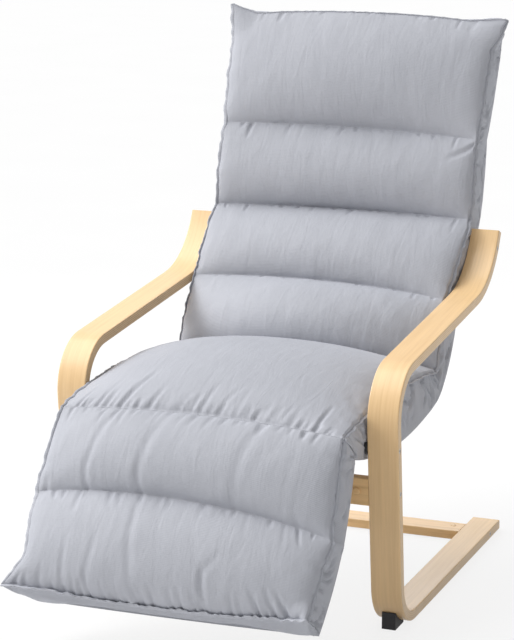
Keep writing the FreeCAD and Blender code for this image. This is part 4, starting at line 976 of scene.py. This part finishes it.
backdrop.tree.links.new(lifted.socket, backdrop.tree.nodes["Material Output"].inputs[0])
bpy.ops.mesh.primitive_plane_add(size=FLOOR_SIZE, location=(0, 0, 0))
floor = bpy.context.object
floor.name = "floor"
floor.data.materials.append(backdrop.data)

world = bpy.data.worlds.new("studio")
bpy.context.scene.world = world
world.use_nodes = True
sky = world.node_tree
background = sky.nodes["Background"]
background.inputs["Color"].default_value = (1, 1, 1, 1)
background.inputs["Strength"].default_value = SKY_STRENGTH
white = sky.nodes.new("ShaderNodeBackground")
white.inputs["Color"].default_value = (1, 1, 1, 1)
ray = sky.nodes.new("ShaderNodeLightPath")
camera_or_glossy = sky.nodes.new("ShaderNodeMath")
camera_or_glossy.operation = "MAXIMUM"
any_ray = sky.nodes.new("ShaderNodeMath")
any_ray.operation = "MAXIMUM"
shown_white = sky.nodes.new("ShaderNodeMixShader")
sky.links.new(ray.outputs["Is Camera Ray"], camera_or_glossy.inputs[0])
sky.links.new(ray.outputs["Is Glossy Ray"], camera_or_glossy.inputs[1])
sky.links.new(camera_or_glossy.outputs[0], any_ray.inputs[0])
sky.links.new(ray.outputs["Is Transmission Ray"], any_ray.inputs[1])
sky.links.new(any_ray.outputs[0], shown_white.inputs[0])
sky.links.new(background.outputs[0], shown_white.inputs[1])
sky.links.new(white.outputs[0], shown_white.inputs[2])
sky.links.new(shown_white.outputs[0], sky.nodes["World Output"].inputs[0])


def soft_lamp(name, place, aim, size, power):
    lamp = bpy.data.lights.new(name, "AREA")
    lamp.shape = "DISK"
    lamp.size = size
    lamp.energy = power
    holder = bpy.data.objects.new(name, lamp)
    bpy.context.scene.collection.objects.link(holder)
    holder.location = place
    holder.rotation_euler = (Vector(aim) - Vector(place)).to_track_quat("-Z", "Y").to_euler()


soft_lamp("key_lamp", KEY_PLACE, KEY_AIM, KEY_SIZE, KEY_POWER)
soft_lamp("rear_lamp", REAR_PLACE, REAR_AIM, REAR_SIZE, REAR_POWER)
sun = bpy.data.lights.new("soft_sun", "SUN")
sun.energy = SUN_STRENGTH
sun.angle = SUN_ANGLE
sun_holder = bpy.data.objects.new("soft_sun", sun)
bpy.context.scene.collection.objects.link(sun_holder)
sun_holder.rotation_euler = Vector(SUN_WAY).to_track_quat("-Z", "Y").to_euler()

# Camera, as solved from the side frames' edges
CAMERA_PLACE = (1.5091, -3.9299, 1.4411)
CAMERA_TURN, CAMERA_DROP, CAMERA_ROLL = math.radians(21.598), math.radians(12.315), math.radians(0.114)
SENSOR_WIDTH, FOCAL_LENGTH = 36, 122.27
lens = bpy.data.cameras.new("camera")
lens.sensor_width = SENSOR_WIDTH
lens.lens = FOCAL_LENGTH
camera = bpy.data.objects.new("camera", lens)
bpy.context.scene.collection.objects.link(camera)
camera.location = CAMERA_PLACE
turn = Matrix.Rotation(CAMERA_TURN, 3, "Z") @ Matrix.Rotation(math.pi / 2 - CAMERA_DROP, 3, "X")
camera.rotation_euler = (turn @ Matrix.Rotation(CAMERA_ROLL, 3, "Z")).to_euler()
bpy.context.scene.camera = camera
bpy.context.scene.view_settings.view_transform = "Standard"
